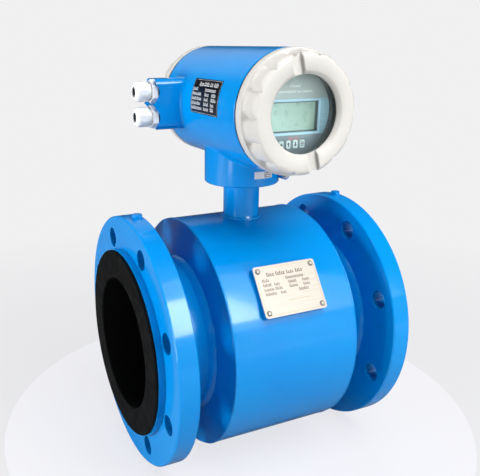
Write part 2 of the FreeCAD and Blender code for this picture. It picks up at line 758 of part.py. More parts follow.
def cover_slots(depth, inner, outer):
    """Two slots across the face for the bar that turns the cover."""
    slot = block(outer - inner, SLOT_WIDTH, SLOT_DEPTH * 2, V((outer + inner) / 2, 0, depth))
    return round_the_axis(slot, 2, COVER_ANGLE)


def front_cover():
    depth = FRONT_COVER_DEPTH
    body = cover_blank(depth).cut(cover_thread_room())
    window_r = WINDOW_D / 2
    window = turned([(0, 0), (window_r, 0), (window_r, bevel_floor), (window_r + WINDOW_BEVEL, depth),
                     (window_r + WINDOW_BEVEL, depth + 1), (0, depth + 1)])
    glass_room = disc(GLASS_D, glass_seat)
    slots = cover_slots(depth, window_r - 1, COVER_RIM_D / 2)
    return forward(cut_in_turn(body, [window, glass_room] + slots), front_cover_y)


def rear_cover():
    depth = REAR_COVER_DEPTH
    body = cover_blank(depth).cut(cover_thread_room())
    hollow = disc(GLASS_D, depth - REAR_COVER_WALL)
    outer = COVER_RIM_D / 2
    slots = cover_slots(depth, outer - REAR_SLOT_LENGTH, outer)
    return backward(cut_in_turn(body, [hollow] + slots), rear_cover_y)


def glass_gasket():
    start = glass_seat - GASKET_THICKNESS
    return forward(ring(GLASS_D, GASKET_BORE_D, GASKET_THICKNESS, start), front_cover_y)


def front_glass():
    start = glass_seat - GASKET_THICKNESS - GLASS_THICKNESS
    return forward(disc(GLASS_D, GLASS_THICKNESS, start), front_cover_y)


def glass_ring():
    """Retaining ring behind the glass, with two notches for the spanner that tightens it."""
    start = glass_seat - GASKET_THICKNESS - GLASS_THICKNESS - RETAINER_THICKNESS
    body = ring(GLASS_D, RETAINER_D, RETAINER_THICKNESS, start)
    notch = block(GLASS_D + 2, RETAINER_KEY_WIDTH, RETAINER_THICKNESS, V(0, 0, start))
    return forward(body.cut(notch), front_cover_y)


def o_ring():
    """O-ring round the root of a spigot, with local zero at the barrel's shoulder."""
    radius = spigot_r + O_RING_CLEARANCE + O_RING_SECTION / 2
    height = O_RING_CLEARANCE + O_RING_SECTION / 2
    corners = [math.radians(60 * k) for k in range(6)]
    section = O_RING_SECTION / 2
    return turned([(radius + section * math.cos(a), height + section * math.sin(a)) for a in corners])


# ---------------------------------------------------------------- electronics and keys

def round_board(y_back, screw_d):
    board = disc(CAVITY_D - 2 * BOARD_CLEARANCE, BOARD_THICKNESS)
    return forward(board.cut(at_posts(disc(screw_d, BOARD_THICKNESS))), y_back)


def power_board():
    return round_board(power_board_y, BEZEL_SCREW_D)


def transformer():
    """Mains transformer on the back of the power board."""
    core = block(TRANSFORMER_WIDTH, TRANSFORMER_HEIGHT, TRANSFORMER_DEPTH, V(0, 0, -TRANSFORMER_DEPTH / 2))
    winding = block(WINDING_WIDTH, WINDING_HEIGHT, WINDING_DEPTH, V(0, 0, -TRANSFORMER_DEPTH / 2))
    return forward(core.fuse(winding).removeSplitter(), power_board_y)


def spacers(length, y_back):
    """Hexagon spacers on the post circle, bored for their screws."""
    spacer = hexagon(SPACER_AF, length).cut(disc(BEZEL_SCREW_D, length))
    return forward(Part.makeCompound(at_posts(spacer)), y_back)


def board_spacers():
    return spacers(POWER_BOARD_SPACER, power_board_y - BOARD_THICKNESS)


def display_board():
    return round_board(display_board_y, BEZEL_SCREW_D)


def panel_spacers():
    return spacers(PANEL_SPACER, display_board_y - BOARD_THICKNESS)


def key_centres():
    first = -(KEY_COUNT - 1) / 2
    return [V((first + k) * KEY_PITCH, -KEY_DROP, 0) for k in range(KEY_COUNT)]


def key_switches():
    body = block(SWITCH_SIZE, SWITCH_SIZE, SWITCH_HEIGHT, V(0, 0, SWITCH_HEIGHT / 2))
    switches = Part.makeCompound([body.translated(place) for place in key_centres()])
    return forward(switches, display_board_y - BOARD_THICKNESS)


def key(index):
    """Key cap through the panel, with a flange behind it and a stem down to its switch."""
    height = panel_back_y - panel_face_y + KEY_PROUD
    cap = block(KEY_WIDTH, KEY_HEIGHT, height, V(0, 0, height / 2))
    cap = rounded_edges(cap, KEY_CORNER, lambda e: runs_along(e, Z_AXIS))
    flange_top = -KEY_CLEARANCE
    wing = block(KEY_WIDTH + 2 * KEY_FLANGE, KEY_HEIGHT + 2 * KEY_FLANGE, KEY_FLANGE_THICKNESS,
                 V(0, 0, flange_top - KEY_FLANGE_THICKNESS / 2))
    stem_length = switch_top_y - panel_back_y - KEY_TRAVEL - KEY_STOP_CLEARANCE
    stem = block(KEY_STEM_SIZE, KEY_STEM_SIZE, stem_length, V(0, 0, -stem_length / 2))
    body = cap.fuse([wing, stem]).removeSplitter()
    return forward(body.translated(key_centres()[index]), panel_back_y)


def lcd_module():
    """Display module: a glass-faced block standing on the display board behind the panel."""
    depth = display_board_y - BOARD_THICKNESS - lcd_face_y
    body = block(LCD_WIDTH, LCD_HEIGHT, depth, V(0, -LCD_CENTRE_DROP, depth / 2))
    return forward(body, display_board_y - BOARD_THICKNESS)


def display_panel():
    """Face plate with the window for the display and a hole for each key."""
    plate = disc(CAVITY_D - 2 * PANEL_CLEARANCE, PANEL_THICKNESS)
    window = block(LCD_WINDOW_WIDTH, LCD_WINDOW_HEIGHT, PANEL_THICKNESS * 3, V(0, -LCD_CENTRE_DROP, 0))
    hole = block(KEY_WIDTH + 2 * KEY_CLEARANCE, KEY_HEIGHT + 2 * KEY_CLEARANCE, PANEL_THICKNESS * 3, ORIGIN)
    holes = [hole.translated(place) for place in key_centres()]
    screws = at_posts(disc(BEZEL_SCREW_D, PANEL_THICKNESS))
    return forward(plate.cut([window] + holes + screws), panel_back_y)


def display_bezel():
    """Black ring in front of the panel, counterbored for the screws that hold the stack."""
    body = ring(CAVITY_D - 2 * PANEL_CLEARANCE, BEZEL_BORE_D, BEZEL_HEIGHT)
    pocket = disc(BEZEL_SCREW_POCKET_D, BEZEL_HEIGHT, bezel_screw_seat)
    through = disc(BEZEL_SCREW_D, BEZEL_HEIGHT)
    return forward(body.cut(at_posts(pocket.fuse(through))), panel_face_y)


def panel_screws():
    """Four screws through bezel and panel into the spacers."""
    head = disc(BEZEL_SCREW_HEAD_D, BEZEL_SCREW_HEAD_HEIGHT, bezel_screw_seat)
    tail = PANEL_THICKNESS + PANEL_SCREW_GRIP
    shank = disc(BEZEL_SCREW_D, bezel_screw_seat + tail, -tail)
    screw = head.fuse(shank).removeSplitter()
    return forward(Part.makeCompound(at_posts(screw)), panel_face_y)


# ---------------------------------------------------------------- terminals

def terminal_places():
    first = -(TERMINAL_COUNT - 1) / 2
    return [V((first + k) * TERMINAL_PITCH, 0, 0) for k in range(TERMINAL_COUNT)]


def terminal_board():
    board = disc(CAVITY_D - 2 * BOARD_CLEARANCE, BOARD_THICKNESS)
    return backward(board.cut(at_posts(disc(BEZEL_SCREW_D, BOARD_THICKNESS))), terminal_board_y)


def terminal_block():
    """Row of screw terminals with a wire mouth under each screw."""
    width = TERMINAL_COUNT * TERMINAL_PITCH + 2 * TERMINAL_END
    body = block(width, TERMINAL_DEPTH, TERMINAL_HEIGHT, V(0, 0, TERMINAL_HEIGHT / 2))
    mouth = block(WIRE_MOUTH_WIDTH, WIRE_MOUTH_DEPTH, WIRE_MOUTH_HEIGHT,
                  V(0, (WIRE_MOUTH_DEPTH - TERMINAL_DEPTH) / 2, WIRE_MOUTH_LIFT))
    return backward(body.cut([mouth.translated(place) for place in terminal_places()]), terminal_block_y)


def terminal_screws():
    screw = disc(TERMINAL_SCREW_D, TERMINAL_SCREW_HEIGHT, TERMINAL_HEIGHT)
    return backward(Part.makeCompound([screw.translated(place) for place in terminal_places()]),
                    terminal_block_y)


# ---------------------------------------------------------------- cable glands

def at_gland(shape, index):
    """Lay a gland piece along -X at its entry; its local zero is the pipe's middle plane."""
    return upstream(shape, 0).translated(V(0, GLAND_Y, gland_zs[index]))


def gland_washers():
    washer = ring(GLAND_WASHER_D, GLAND_THREAD_D, GLAND_WASHER_THICKNESS, gland_seat_x)
    return Part.makeCompound([at_gland(washer, 0), at_gland(washer, 1)])


def gland_body(index):
    """Threaded stub into the boss, hexagon, and the sleeve that holds the seal."""
    stub = disc(GLAND_THREAD_D, gland_hex_x - gland_seat_x + GLAND_THREAD_LENGTH,
                gland_seat_x - GLAND_THREAD_LENGTH)
    hexagonal = bevelled_hexagon(GLAND_AF, GLAND_HEX_WIDTH, gland_hex_x)
    sleeve = disc(GLAND_NECK_D, GLAND_CAP_GAP + GLAND_NECK_LENGTH, gland_neck_x)
    body = stub.fuse([hexagonal, sleeve]).removeSplitter()
    seal_room = disc(GLAND_SEAL_D + 2 * GLAND_CLEARANCE, GLAND_NECK_LENGTH * 2, gland_seal_x)
    passage = disc(GLAND_PASSAGE_D, gland_tip_x * 2)
    return at_gland(cut_in_turn(body, [seal_room, passage]), index)


def gland_cap(index):
    """Domed compression cap over the sleeve, open at its tip for the cable."""
    outer_r = GLAND_CAP_D / 2
    shoulder_x = gland_tip_x - GLAND_CAP_DOME
    tip_r = GLAND_CAP_TIP_D / 2
    dome_angles = [math.radians(30 * k) for k in range(4)]
    dome = [(tip_r + (outer_r - tip_r) * math.cos(a), shoulder_x + GLAND_CAP_DOME * math.sin(a))
            for a in dome_angles]
    body = turned([(0, gland_cap_x), (outer_r, gland_cap_x)] + dome + [(0, gland_tip_x)])
    socket_r = GLAND_NECK_D / 2 + GLAND_CLEARANCE
    socket_end = gland_cap_x + GLAND_NECK_LENGTH + GLAND_CLEARANCE
    mouth_r = GLAND_CAP_MOUTH_D / 2
    room = turned([(0, gland_cap_x - 1), (socket_r, gland_cap_x - 1), (socket_r, socket_end),
                   (GLAND_SEAL_D / 2 + GLAND_CLEARANCE, socket_end),
                   (GLAND_SEAL_D / 2 + GLAND_CLEARANCE, gland_seal_end), (mouth_r, gland_seal_end),
                   (mouth_r, gland_tip_x + 1), (0, gland_tip_x + 1)])
    return at_gland(body.cut(room), index)


def gland_seal(index):
    length = GLAND_SEAL_LENGTH - 2 * GLAND_CLEARANCE
    return at_gland(ring(GLAND_SEAL_D, CABLE_D, length, gland_seal_x + GLAND_CLEARANCE), index)


# ---------------------------------------------------------------- labels

def wrapped_label(inner_d, width, height_angle, start):
    """A thin patch wrapped round local Z: width along Z, height_angle round it, centred on +X."""
    skin = ring(inner_d + 2 * LABEL_THICKNESS, inner_d, width, start)
    reach = inner_d
    side = reach * math.tan(math.radians(height_angle / 2))
    wedge = Part.Face(Part.makePolygon([ORIGIN, V(reach, -side, 0), V(reach, side, 0), ORIGIN]))
    return skin.common(wedge.extrude(V(0, 0, width)).translated(V(0, 0, start)))


def rating_label():
    """Label on the barrel above the glands, wrapped round its left side."""
    angle = math.degrees(RATING_HEIGHT / barrel_r)
    label = wrapped_label(BARREL_D, RATING_WIDTH, angle, -RATING_WIDTH / 2)
    label = label.rotated(ORIGIN, Z_AXIS, 90 + RATING_ANGLE)
    return forward(label, RATING_Y)


def serial_sticker():
    """Small sticker low on the front of the base."""
    angle = math.degrees(STICKER_WIDTH / (BASE_D / 2))
    sticker = wrapped_label(BASE_D, STICKER_HEIGHT, angle, STICKER_Z - STICKER_HEIGHT / 2)
    return sticker.rotated(ORIGIN, Z_AXIS, STICKER_ANGLE - 90)


# ---------------------------------------------------------------- all pieces

def mirrored(shape):
    """The same piece at the other end of the pipe, turned half round about Z."""
    return shape.rotated(ORIGIN, Z_AXIS, 180)


def all_pieces():
    pieces = {
        "flow_tube": flow_tube(),
        "rubber_lining": rubber_lining(),
        "outlet_flange": flange(GROUND_BOLT_OFFSET),
        "inlet_flange": mirrored(flange(-GROUND_BOLT_OFFSET)),
        "outlet_ground_bolt": ground_bolt(GROUND_BOLT_OFFSET),
        "inlet_ground_bolt": mirrored(ground_bolt(-GROUND_BOLT_OFFSET)),
        "coil_shell": coil_shell(),
        "outlet_end_plate": end_plate(),
        "inlet_end_plate": mirrored(end_plate()),
        "upper_pole": pole(),
        "lower_pole": below(pole()),
        "upper_coil": coil(),
        "lower_coil": below(coil()),
        "flux_yoke": flux_yoke(),
        "front_electrode": electrode(),
        "rear_electrode": mirrored(electrode()),
        "electrode_bushes": both_sides(electrode_bush),
        "electrode_nuts": both_sides(electrode_nut),
        "neck_pipe": neck_pipe(),
        "neck_locknut": neck_locknut(),
        "nameplate_bracket": nameplate_bracket(),
        "nameplate": nameplate(),
        "nameplate_rivets": nameplate_rivets(),
        "head_housing": head_housing(),
        "ground_screw": ground_screw(),
        "ground_washer": ground_washer(),
        "front_cover": front_cover(),
        "glass_gasket": glass_gasket(),
        "front_glass": front_glass(),
        "glass_ring": glass_ring(),
        "front_o_ring": forward(o_ring(), -BARREL_FRONT),
        "rear_cover": rear_cover(),
        "rear_o_ring": backward(o_ring(), BARREL_REAR),
        "power_board": power_board(),
        "transformer": transformer(),
        "board_spacers": board_spacers(),
        "display_board": display_board(),
        "panel_spacers": panel_spacers(),
        "key_switches": key_switches(),
        "lcd_module": lcd_module(),
        "display_panel": display_panel(),
        "display_bezel": display_bezel(),
        "panel_screws": panel_screws(),
        "terminal_board": terminal_board(),
        "terminal_block": terminal_block(),
        "terminal_screws": terminal_screws(),
        "gland_washers": gland_washers(),
        "rating_label": rating_label(),
        "serial_sticker": serial_sticker(),
    }
    for index in range(KEY_COUNT):
        pieces["key_%d" % (index + 1)] = key(index)
    for index, place in enumerate(("upper", "lower")):
        pieces[place + "_gland_body"] = gland_body(index)
        pieces[place + "_gland_cap"] = gland_cap(index)
        pieces[place + "_gland_seal"] = gland_seal(index)
    return pieces


os.makedirs("parts", exist_ok=True)
for name, shape in all_pieces().items():
    shape.exportStep(os.path.join("parts", name + ".step"))
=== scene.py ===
import json
import math

import bpy
from mathutils import Matrix, Vector


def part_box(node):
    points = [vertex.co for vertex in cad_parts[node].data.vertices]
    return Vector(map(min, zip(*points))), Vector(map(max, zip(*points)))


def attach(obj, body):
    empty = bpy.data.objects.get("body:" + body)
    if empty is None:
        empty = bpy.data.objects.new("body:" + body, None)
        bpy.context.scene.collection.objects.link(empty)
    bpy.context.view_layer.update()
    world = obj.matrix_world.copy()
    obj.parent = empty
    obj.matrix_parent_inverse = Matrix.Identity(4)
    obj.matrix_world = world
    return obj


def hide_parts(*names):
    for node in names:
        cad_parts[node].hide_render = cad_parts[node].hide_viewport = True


# Looks of a flanged electromagnetic flow meter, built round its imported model.
# Everything is in metres in the model's own frame: +X along the pipe, -Y towards the display.

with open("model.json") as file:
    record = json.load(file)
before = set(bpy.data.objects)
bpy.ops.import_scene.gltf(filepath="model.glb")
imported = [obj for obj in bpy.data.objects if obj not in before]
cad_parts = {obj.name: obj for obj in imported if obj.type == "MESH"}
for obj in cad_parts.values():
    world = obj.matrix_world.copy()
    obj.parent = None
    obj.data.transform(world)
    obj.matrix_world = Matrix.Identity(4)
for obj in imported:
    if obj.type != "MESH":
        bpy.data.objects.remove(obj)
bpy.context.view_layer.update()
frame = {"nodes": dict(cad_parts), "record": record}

MM = 0.001

# ---------------------------------------------------------------- places read from the frame


def middle(node):
    low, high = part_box(node)
    return (low + high) / 2


def size(node):
    low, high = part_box(node)
    return high - low


END_PLATE_THICKNESS = 4 * MM
BEZEL_TO_BARREL = 10.5 * MM

shell_r = size("coil_shell").z / 2
shell_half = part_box("outlet_end_plate")[0].x + END_PLATE_THICKNESS
pipe_r = size("flow_tube").z / 2
floor_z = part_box("outlet_flange")[0].z
head_z = middle("front_cover").z
barrel_r = size("display_bezel").x / 2 + BEZEL_TO_BARREL
panel_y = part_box("display_panel")[0].y
lcd_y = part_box("lcd_module")[0].y
neck_r = size("neck_pipe").x / 2

# Frames whose local Z points along one of the model's axes
TURN_FORWARD = Matrix(((1, 0, 0), (0, 0, -1), (0, 1, 0)))
TURN_BACKWARD = Matrix(((-1, 0, 0), (0, 0, 1), (0, 1, 0)))
TURN_OUTLET = Matrix(((0, 0, 1), (1, 0, 0), (0, 1, 0)))
TURN_INLET = Matrix(((0, 0, -1), (-1, 0, 0), (0, 1, 0)))


def placed(turn, origin):
    """A frame turned this way, with its zero at a place of the model."""
    return Matrix.Translation(origin) @ turn.to_4x4()


# ---------------------------------------------------------------- materials


def srgb(red, green, blue):
    """A display colour from 0 to 255 as linear values."""
    def linear(value):
        value /= 255
        return value / 12.92 if value <= 0.04045 else ((value + 0.055) / 1.055) ** 2.4
    return (linear(red), linear(green), linear(blue), 1.0)


# Surfaces return this share of their display colour, so that light between them soon dies away
RETURNED = 0.62


# Colours as linear values, used as they are
NYLON_COLOUR = (0.70, 0.71, 0.725, 1)
GLASS_COLOUR = (0.95, 0.99, 0.98, 1)


def held_back(colour):
    return tuple(RETURNED * channel for channel in colour[:3]) + (1.0,)


def add_node(tree, kind, **values):
    """A node with constants on its inputs; an underscore stands for a space in a socket's name."""
    node = tree.nodes.new(kind)
    for socket, value in values.items():
        node.inputs[socket.replace("_", " ")].default_value = value
    return node


def new_material(name, colour, roughness, **sockets):
    material = bpy.data.materials.new(name)
    material.use_nodes = True
    shader = shader_of(material)
    shader.inputs["Base Color"].default_value = held_back(colour)
    shader.inputs["Roughness"].default_value = roughness
    for socket, value in sockets.items():
        shader.inputs[socket.replace("_", " ")].default_value = value
    return material


def shader_of(material):
    return material.node_tree.nodes["Principled BSDF"]


def noise(material, scale, detail=3.0, stretch=(1, 1, 1)):
    """Noise in the model's own coordinates; scale is features per metre, over stretch."""
    tree = material.node_tree
    coordinates = tree.nodes.new("ShaderNodeTexCoord")
    mapping = add_node(tree, "ShaderNodeMapping", Scale=stretch)
    texture = add_node(tree, "ShaderNodeTexNoise", Scale=scale, Detail=detail)
    tree.links.new(coordinates.outputs["Object"], mapping.inputs["Vector"])
    tree.links.new(mapping.outputs["Vector"], texture.inputs["Vector"])
    return texture.outputs["Fac"]


def along(material, axis, start, end):
    """0 to 1 along one of the model's axes, between two places in metres."""
    tree = material.node_tree
    coordinates = tree.nodes.new("ShaderNodeTexCoord")
    split = tree.nodes.new("ShaderNodeSeparateXYZ")
    share = add_node(tree, "ShaderNodeMapRange", From_Min=start, From_Max=end)
    tree.links.new(coordinates.outputs["Object"], split.inputs["Vector"])
    tree.links.new(split.outputs[axis], share.inputs["Value"])
    return share.outputs["Result"]


# Most of a noise's values lie between these two
NOISE_LOW, NOISE_HIGH = 0.3, 0.7


def vary(material, socket, value, low, high):
    """Let a number of the shader run from low to high with a noise."""
    tree = material.node_tree
    spread = add_node(tree, "ShaderNodeMapRange", From_Min=NOISE_LOW, From_Max=NOISE_HIGH,
                      To_Min=low, To_Max=high)
    tree.links.new(value, spread.inputs["Value"])
    tree.links.new(spread.outputs["Result"], shader_of(material).inputs[socket])


def tint(material, value, one, other, start=NOISE_LOW, end=NOISE_HIGH):
    """Mix two colours by a 0 to 1 value into the base colour."""
    tree = material.node_tree
    ramp = tree.nodes.new("ShaderNodeValToRGB")
    for element, position, colour in zip(ramp.color_ramp.elements, (start, end), (one, other)):
        element.position = position
        element.color = held_back(colour)
    tree.links.new(value, ramp.inputs["Fac"])
    tree.links.new(ramp.outputs["Color"], shader_of(material).inputs["Base Color"])


def bump(material, value, height, strength=1.0):
    """Relief too fine to be modelled; height in metres."""
    tree = material.node_tree
    relief = add_node(tree, "ShaderNodeBump", Distance=height, Strength=strength)
    tree.links.new(value, relief.inputs["Height"])
    tree.links.new(relief.outputs["Normal"], shader_of(material).inputs["Normal"])


def blue_enamel():
    """Sprayed gloss enamel with a faint orange peel."""
    material = new_material("blue_enamel", srgb(0, 158, 247), 0.15, Coat_Weight=0.2, Coat_Roughness=0.04)
    tint(material, noise(material, 18), srgb(0, 155, 246), srgb(0, 161, 248))
    vary(material, "Roughness", noise(material, 60), 0.12, 0.18)
    bump(material, noise(material, 420, 2), 0.00006, 0.5)
    return material


def cover_enamel():
    """Off-white enamel over a cast surface."""
    material = new_material("cover_enamel", srgb(228, 225, 219), 0.4, Coat_Weight=0.1, Coat_Roughness=0.25)
    tint(material, noise(material, 25), srgb(226, 223, 217), srgb(230, 227, 222))
    bump(material, noise(material, 900, 3), 0.00008, 0.5)
    return material


def black_rubber(name, grain):
    material = new_material(name, srgb(9, 10, 11), 0.6, Specular_IOR_Level=0.25)
    vary(material, "Roughness", noise(material, 90), 0.55, 0.72)
    bump(material, noise(material, grain, 4), 0.00012, 0.6)
    return material


def plain_metal(name, colour, roughness, metallic=1.0):
    material = new_material(name, colour, roughness, Metallic=metallic)
    vary(material, "Roughness", noise(material, 300), roughness - 0.06, roughness + 0.08)
    bump(material, noise(material, 1500, 2), 0.00002, 0.4)
    return material


def brushed_plate():
    """Aluminium sheet brushed along its length."""
    dark, pale = srgb(216, 209, 197), srgb(230, 224, 213)
    material = new_material("brushed_plate", pale, 0.46, Metallic=0.55)
    grain = noise(material, 900, 4, (0.03, 1, 1))
    vary(material, "Roughness", grain, 0.4, 0.56)
    tint(material, grain, dark, pale)
    bump(material, grain, 0.00003, 0.3)
    return material


def moulded(name, colour, roughness, grain=1200):
    material = new_material(name, colour, roughness)
    vary(material, "Roughness", noise(material, 150), roughness - 0.05, roughness + 0.06)
    bump(material, noise(material, grain, 2), 0.00004, 0.4)
    return material


def white_nylon():
    """The brightest surface of the meter, so its colour is not held back."""
    material = moulded("white_nylon", NYLON_COLOUR, 0.28)
    shader = shader_of(material)
    shader.inputs["Base Color"].default_value = NYLON_COLOUR
    shader.inputs["Subsurface Weight"].default_value = 0.15
    shader.inputs["Subsurface Radius"].default_value = (2 * MM, 2 * MM, 2 * MM)
    return material


def clear_glass():
    material = new_material("clear_glass", GLASS_COLOUR, 0.02, Transmission_Weight=1.0, IOR=1.46)
    shader_of(material).inputs["Base Color"].default_value = GLASS_COLOUR
    return material


def wound_copper():
    material = new_material("wound_copper", srgb(176, 98, 52), 0.35, Metallic=0.9)
    tree = material.node_tree
    turns = add_node(tree, "ShaderNodeTexWave", Scale=300)
    turns.bands_direction = "Z"
    coordinates = tree.nodes.new("ShaderNodeTexCoord")
    tree.links.new(coordinates.outputs["Object"], turns.inputs["Vector"])
    bump(material, turns.outputs["Fac"], 0.0003, 0.8)
    return material


def circuit_board():
    material = new_material("circuit_board", srgb(16, 92, 44), 0.4)
    tint(material, noise(material, 400, 1), srgb(12, 78, 38), srgb(22, 104, 52))
    bump(material, noise(material, 700, 1), 0.00005, 0.4)
    return material


def panel_film():
    """Grey-green front film, darker below the display."""
    low, high = srgb(118, 134, 142), srgb(176, 190, 188)
    material = moulded("panel_film", low, 0.5)
    tint(material, along(material, "Z", head_z - 26 * MM, head_z + 20 * MM), low, high, 0, 1)
    return material


def lcd_glass():
    """Unlit display, paler towards its left side."""
    left, right = srgb(184, 214, 206), srgb(160, 188, 176)
    material = moulded("lcd_glass", left, 0.3)
    tint(material, along(material, "X", -28 * MM, 26 * MM), left, right, 0, 1)
    return material


FINISHES = {
    "blue_paint": blue_enamel(),
    "cover_paint": cover_enamel(),
    "lining_rubber": black_rubber("lining_rubber", 500),
    "seal_rubber": black_rubber("seal_rubber", 1500),
    "pole_steel": plain_metal("pole_steel", srgb(150, 150, 152), 0.45),
    "winding": wound_copper(),
    "electrode_steel": plain_metal("electrode_steel", srgb(200, 200, 203), 0.22),
    "insulator": moulded("insulator", srgb(236, 236, 230), 0.4),
    "fastener_steel": plain_metal("fastener_steel", srgb(214, 216, 220), 0.36, 0.55),
    "plate_aluminium": brushed_plate(),
    "glass": clear_glass(),
    "ring_metal": moulded("ring_anodised", srgb(20, 22, 24), 0.4),
    "board": circuit_board(),
    "transformer": moulded("transformer", srgb(58, 54, 50), 0.5, 700),
    "spacer_brass": plain_metal("spacer_brass", srgb(214, 180, 106), 0.3),
    "black_plastic": moulded("black_plastic", srgb(104, 112, 113), 0.6),
    "display": moulded("display_frame", srgb(60, 66, 66), 0.4),
    "panel_film": panel_film(),
    "terminal_plastic": moulded("terminal_plastic", srgb(40, 130, 74), 0.4),
    "key_rubber": moulded("key_rubber", srgb(206, 228, 228), 0.45),
    "gland_nylon": white_nylon(),
    "black_label": moulded("black_label", srgb(14, 15, 20), 0.36),
    "white_label": moulded("white_label", srgb(240, 240, 238), 0.5),
}

PRINT_WHITE = moulded("print_white", srgb(232, 236, 238), 0.45)
PRINT_BLACK = moulded("print_black", srgb(14, 15, 16), 0.5)
PRINT_GREY = moulded("print_grey", srgb(112, 88, 74), 0.5)
PRINT_GOLD = moulded("print_gold", srgb(198, 172, 104), 0.45)
PRINT_RED = moulded("print_red", srgb(186, 120, 124), 0.5)
BAND_BLUE = moulded("band_blue", srgb(158, 198, 216), 0.45)
BAND_LINE = moulded("band_line", srgb(186, 222, 246), 0.45)
BAND_THIN = moulded("band_thin", srgb(176, 212, 234), 0.45)
LCD_GREEN = lcd_glass()
# Painted shade: the dark frame on the display's edge stands in for the shaded walls of its recess
LCD_SHADE_FRAME = moulded("lcd_painted_shade", srgb(98, 118, 124), 0.5)


def smooth_by_angle(mesh, degrees=32):
    """Smooth shading, with edges sharper than this angle kept hard."""
    mesh.polygons.foreach_set("use_smooth", [True] * len(mesh.polygons))
    mesh.set_sharp_from_angle(angle=math.radians(degrees))


def finish_cad_nodes():
    """Give each carried-over solid its slot's finish."""
    for part in frame["record"]["subparts"]:
        node = frame["nodes"][part["node"]]
        node.data.materials.clear()
        node.data.materials.append(FINISHES[part["material_slot"]])
        smooth_by_angle(node.data)


finish_cad_nodes()
frame["nodes"]["front_glass"].visible_shadow = False

# ---------------------------------------------------------------- mesh helpers


def add_piece(name, points, faces, matrix, material, body, angle=32):
    """A mesh given in a local frame, carried by one of the model's bodies."""
    mesh = bpy.data.meshes.new(name)
    mesh.from_pydata([matrix @ Vector(p) for p in points], [], faces)
    mesh.validate()
    smooth_by_angle(mesh, angle)
    mesh.materials.append(material)
    piece = bpy.data.objects.new(name, mesh)
    bpy.context.scene.collection.objects.link(piece)
    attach(piece, body)
    return piece


def grid_faces(rows, columns, close_rows=False):
    """Quads between rows of points, closed round the columns, and round the rows where asked."""
    faces = []
    for i in range(rows if close_rows else rows - 1):
        for j in range(columns):
            a, b = i * columns, (i + 1) % rows * columns
            k = (j + 1) % columns
            faces.append((a + j, a + k, b + k, b + j))
    return faces


def turned(profile, columns, radius_at=None, start=0.0):
    """Points of (radius, height) rows round local Z.

    radius_at(row, angle, radius, height) may reshape a row.
    """
    points = []
    for row, (radius, height) in enumerate(profile):
        for j in range(columns):
            angle = start + 2 * math.pi * j / columns
            r = radius if radius_at is None else radius_at(row, angle, radius, height)
            points.append((r * math.cos(angle), r * math.sin(angle), height))
    return points


def arc(centre_r, centre_z, radius, start, end, steps):
    """Profile points on a circular arc, angles in degrees from outwards towards +Z."""
    turns = [math.radians(start + (end - start) * k / steps) for k in range(steps + 1)]
    return [(centre_r + radius * math.cos(a), centre_z + radius * math.sin(a)) for a in turns]


def soft_min(one, other, blend):
    """The smaller of two values, rounded over where they come within blend of each other."""
    share = max(blend - abs(one - other), 0) / blend
    return min(one, other) - share * share * blend / 4


def soft_max(one, other, blend):
    return -soft_min(-one, -other, blend)


# ---------------------------------------------------------------- screwed covers

COVER_START = math.radians(104)
LOBES = 14
CREST_R = 57.75 * MM
VALLEY_R = 52.5 * MM
VALLEY_BLEND = 1.0 * MM
EDGE_BLEND = 1.4 * MM
COVER_TAPER = 1.2 * MM
EDGE_ROUND = 5.5 * MM
RIM_WIDTH = 10.5 * MM
RIM_CHAMFER = 0.8 * MM
RIM_ROOT = 3.2 * MM
SLOT_WIDTH = 11.5 * MM
SLOT_DEPTH = 4 * MM
SLOT_ROUND = 1.4 * MM
SLOT_FLARE = 0.5 * MM
WINDOW_R = 36.4 * MM
WINDOW_BEVEL = 3.2 * MM
THREAD_R = 55.8 * MM
THREAD_DEPTH = 8.4 * MM
THREAD_PITCH = 2 * MM
THREAD_HEIGHT = 0.7 * MM
REAR_WALL = 7 * MM
REAR_SLOT_LENGTH = 22 * MM
SLOT_OVERRUN = 1 * MM
CENTRE_HOLE_R = 0.2 * MM
COLUMNS_A_LOBE = 30
ROOT_ROWS, SIDE_ROWS, EDGE_ROWS, THREAD_ROWS = 7, 4, 12, 20
COVER_SHARP = 40

lobe_half = math.pi / LOBES
lobe_reach = CREST_R - VALLEY_R * math.cos(lobe_half)
lobe_arc_r = ((VALLEY_R * math.sin(lobe_half)) ** 2 + lobe_reach ** 2) / (2 * lobe_reach)
lobe_centre_r = CREST_R - lobe_arc_r


def petal(turn):
    """Radius of one lobe's arc at an angle from its crest."""
    across = lobe_centre_r * math.sin(turn)
    return lobe_centre_r * math.cos(turn) + math.sqrt(max(lobe_arc_r ** 2 - across ** 2, 0))


def grip_radius(angle):
    """Scalloped outline of the hand grip, with a small round in each valley."""
    offset = (angle - COVER_START) % (2 * lobe_half) - lobe_half
    neighbour = 2 * lobe_half - abs(offset)
    return soft_max(petal(abs(offset)), petal(neighbour), VALLEY_BLEND)


def envelope_radius(height, depth):
    """The plain tapered cover with its rounded front edge, which limits the lobes."""
    side_r = CREST_R - COVER_TAPER
    start = depth - EDGE_ROUND
    if height <= start:
        return CREST_R - COVER_TAPER * height / start
    rise = min((height - start) / EDGE_ROUND, 1)
    return side_r - EDGE_ROUND * (1 - math.sqrt(1 - rise * rise))


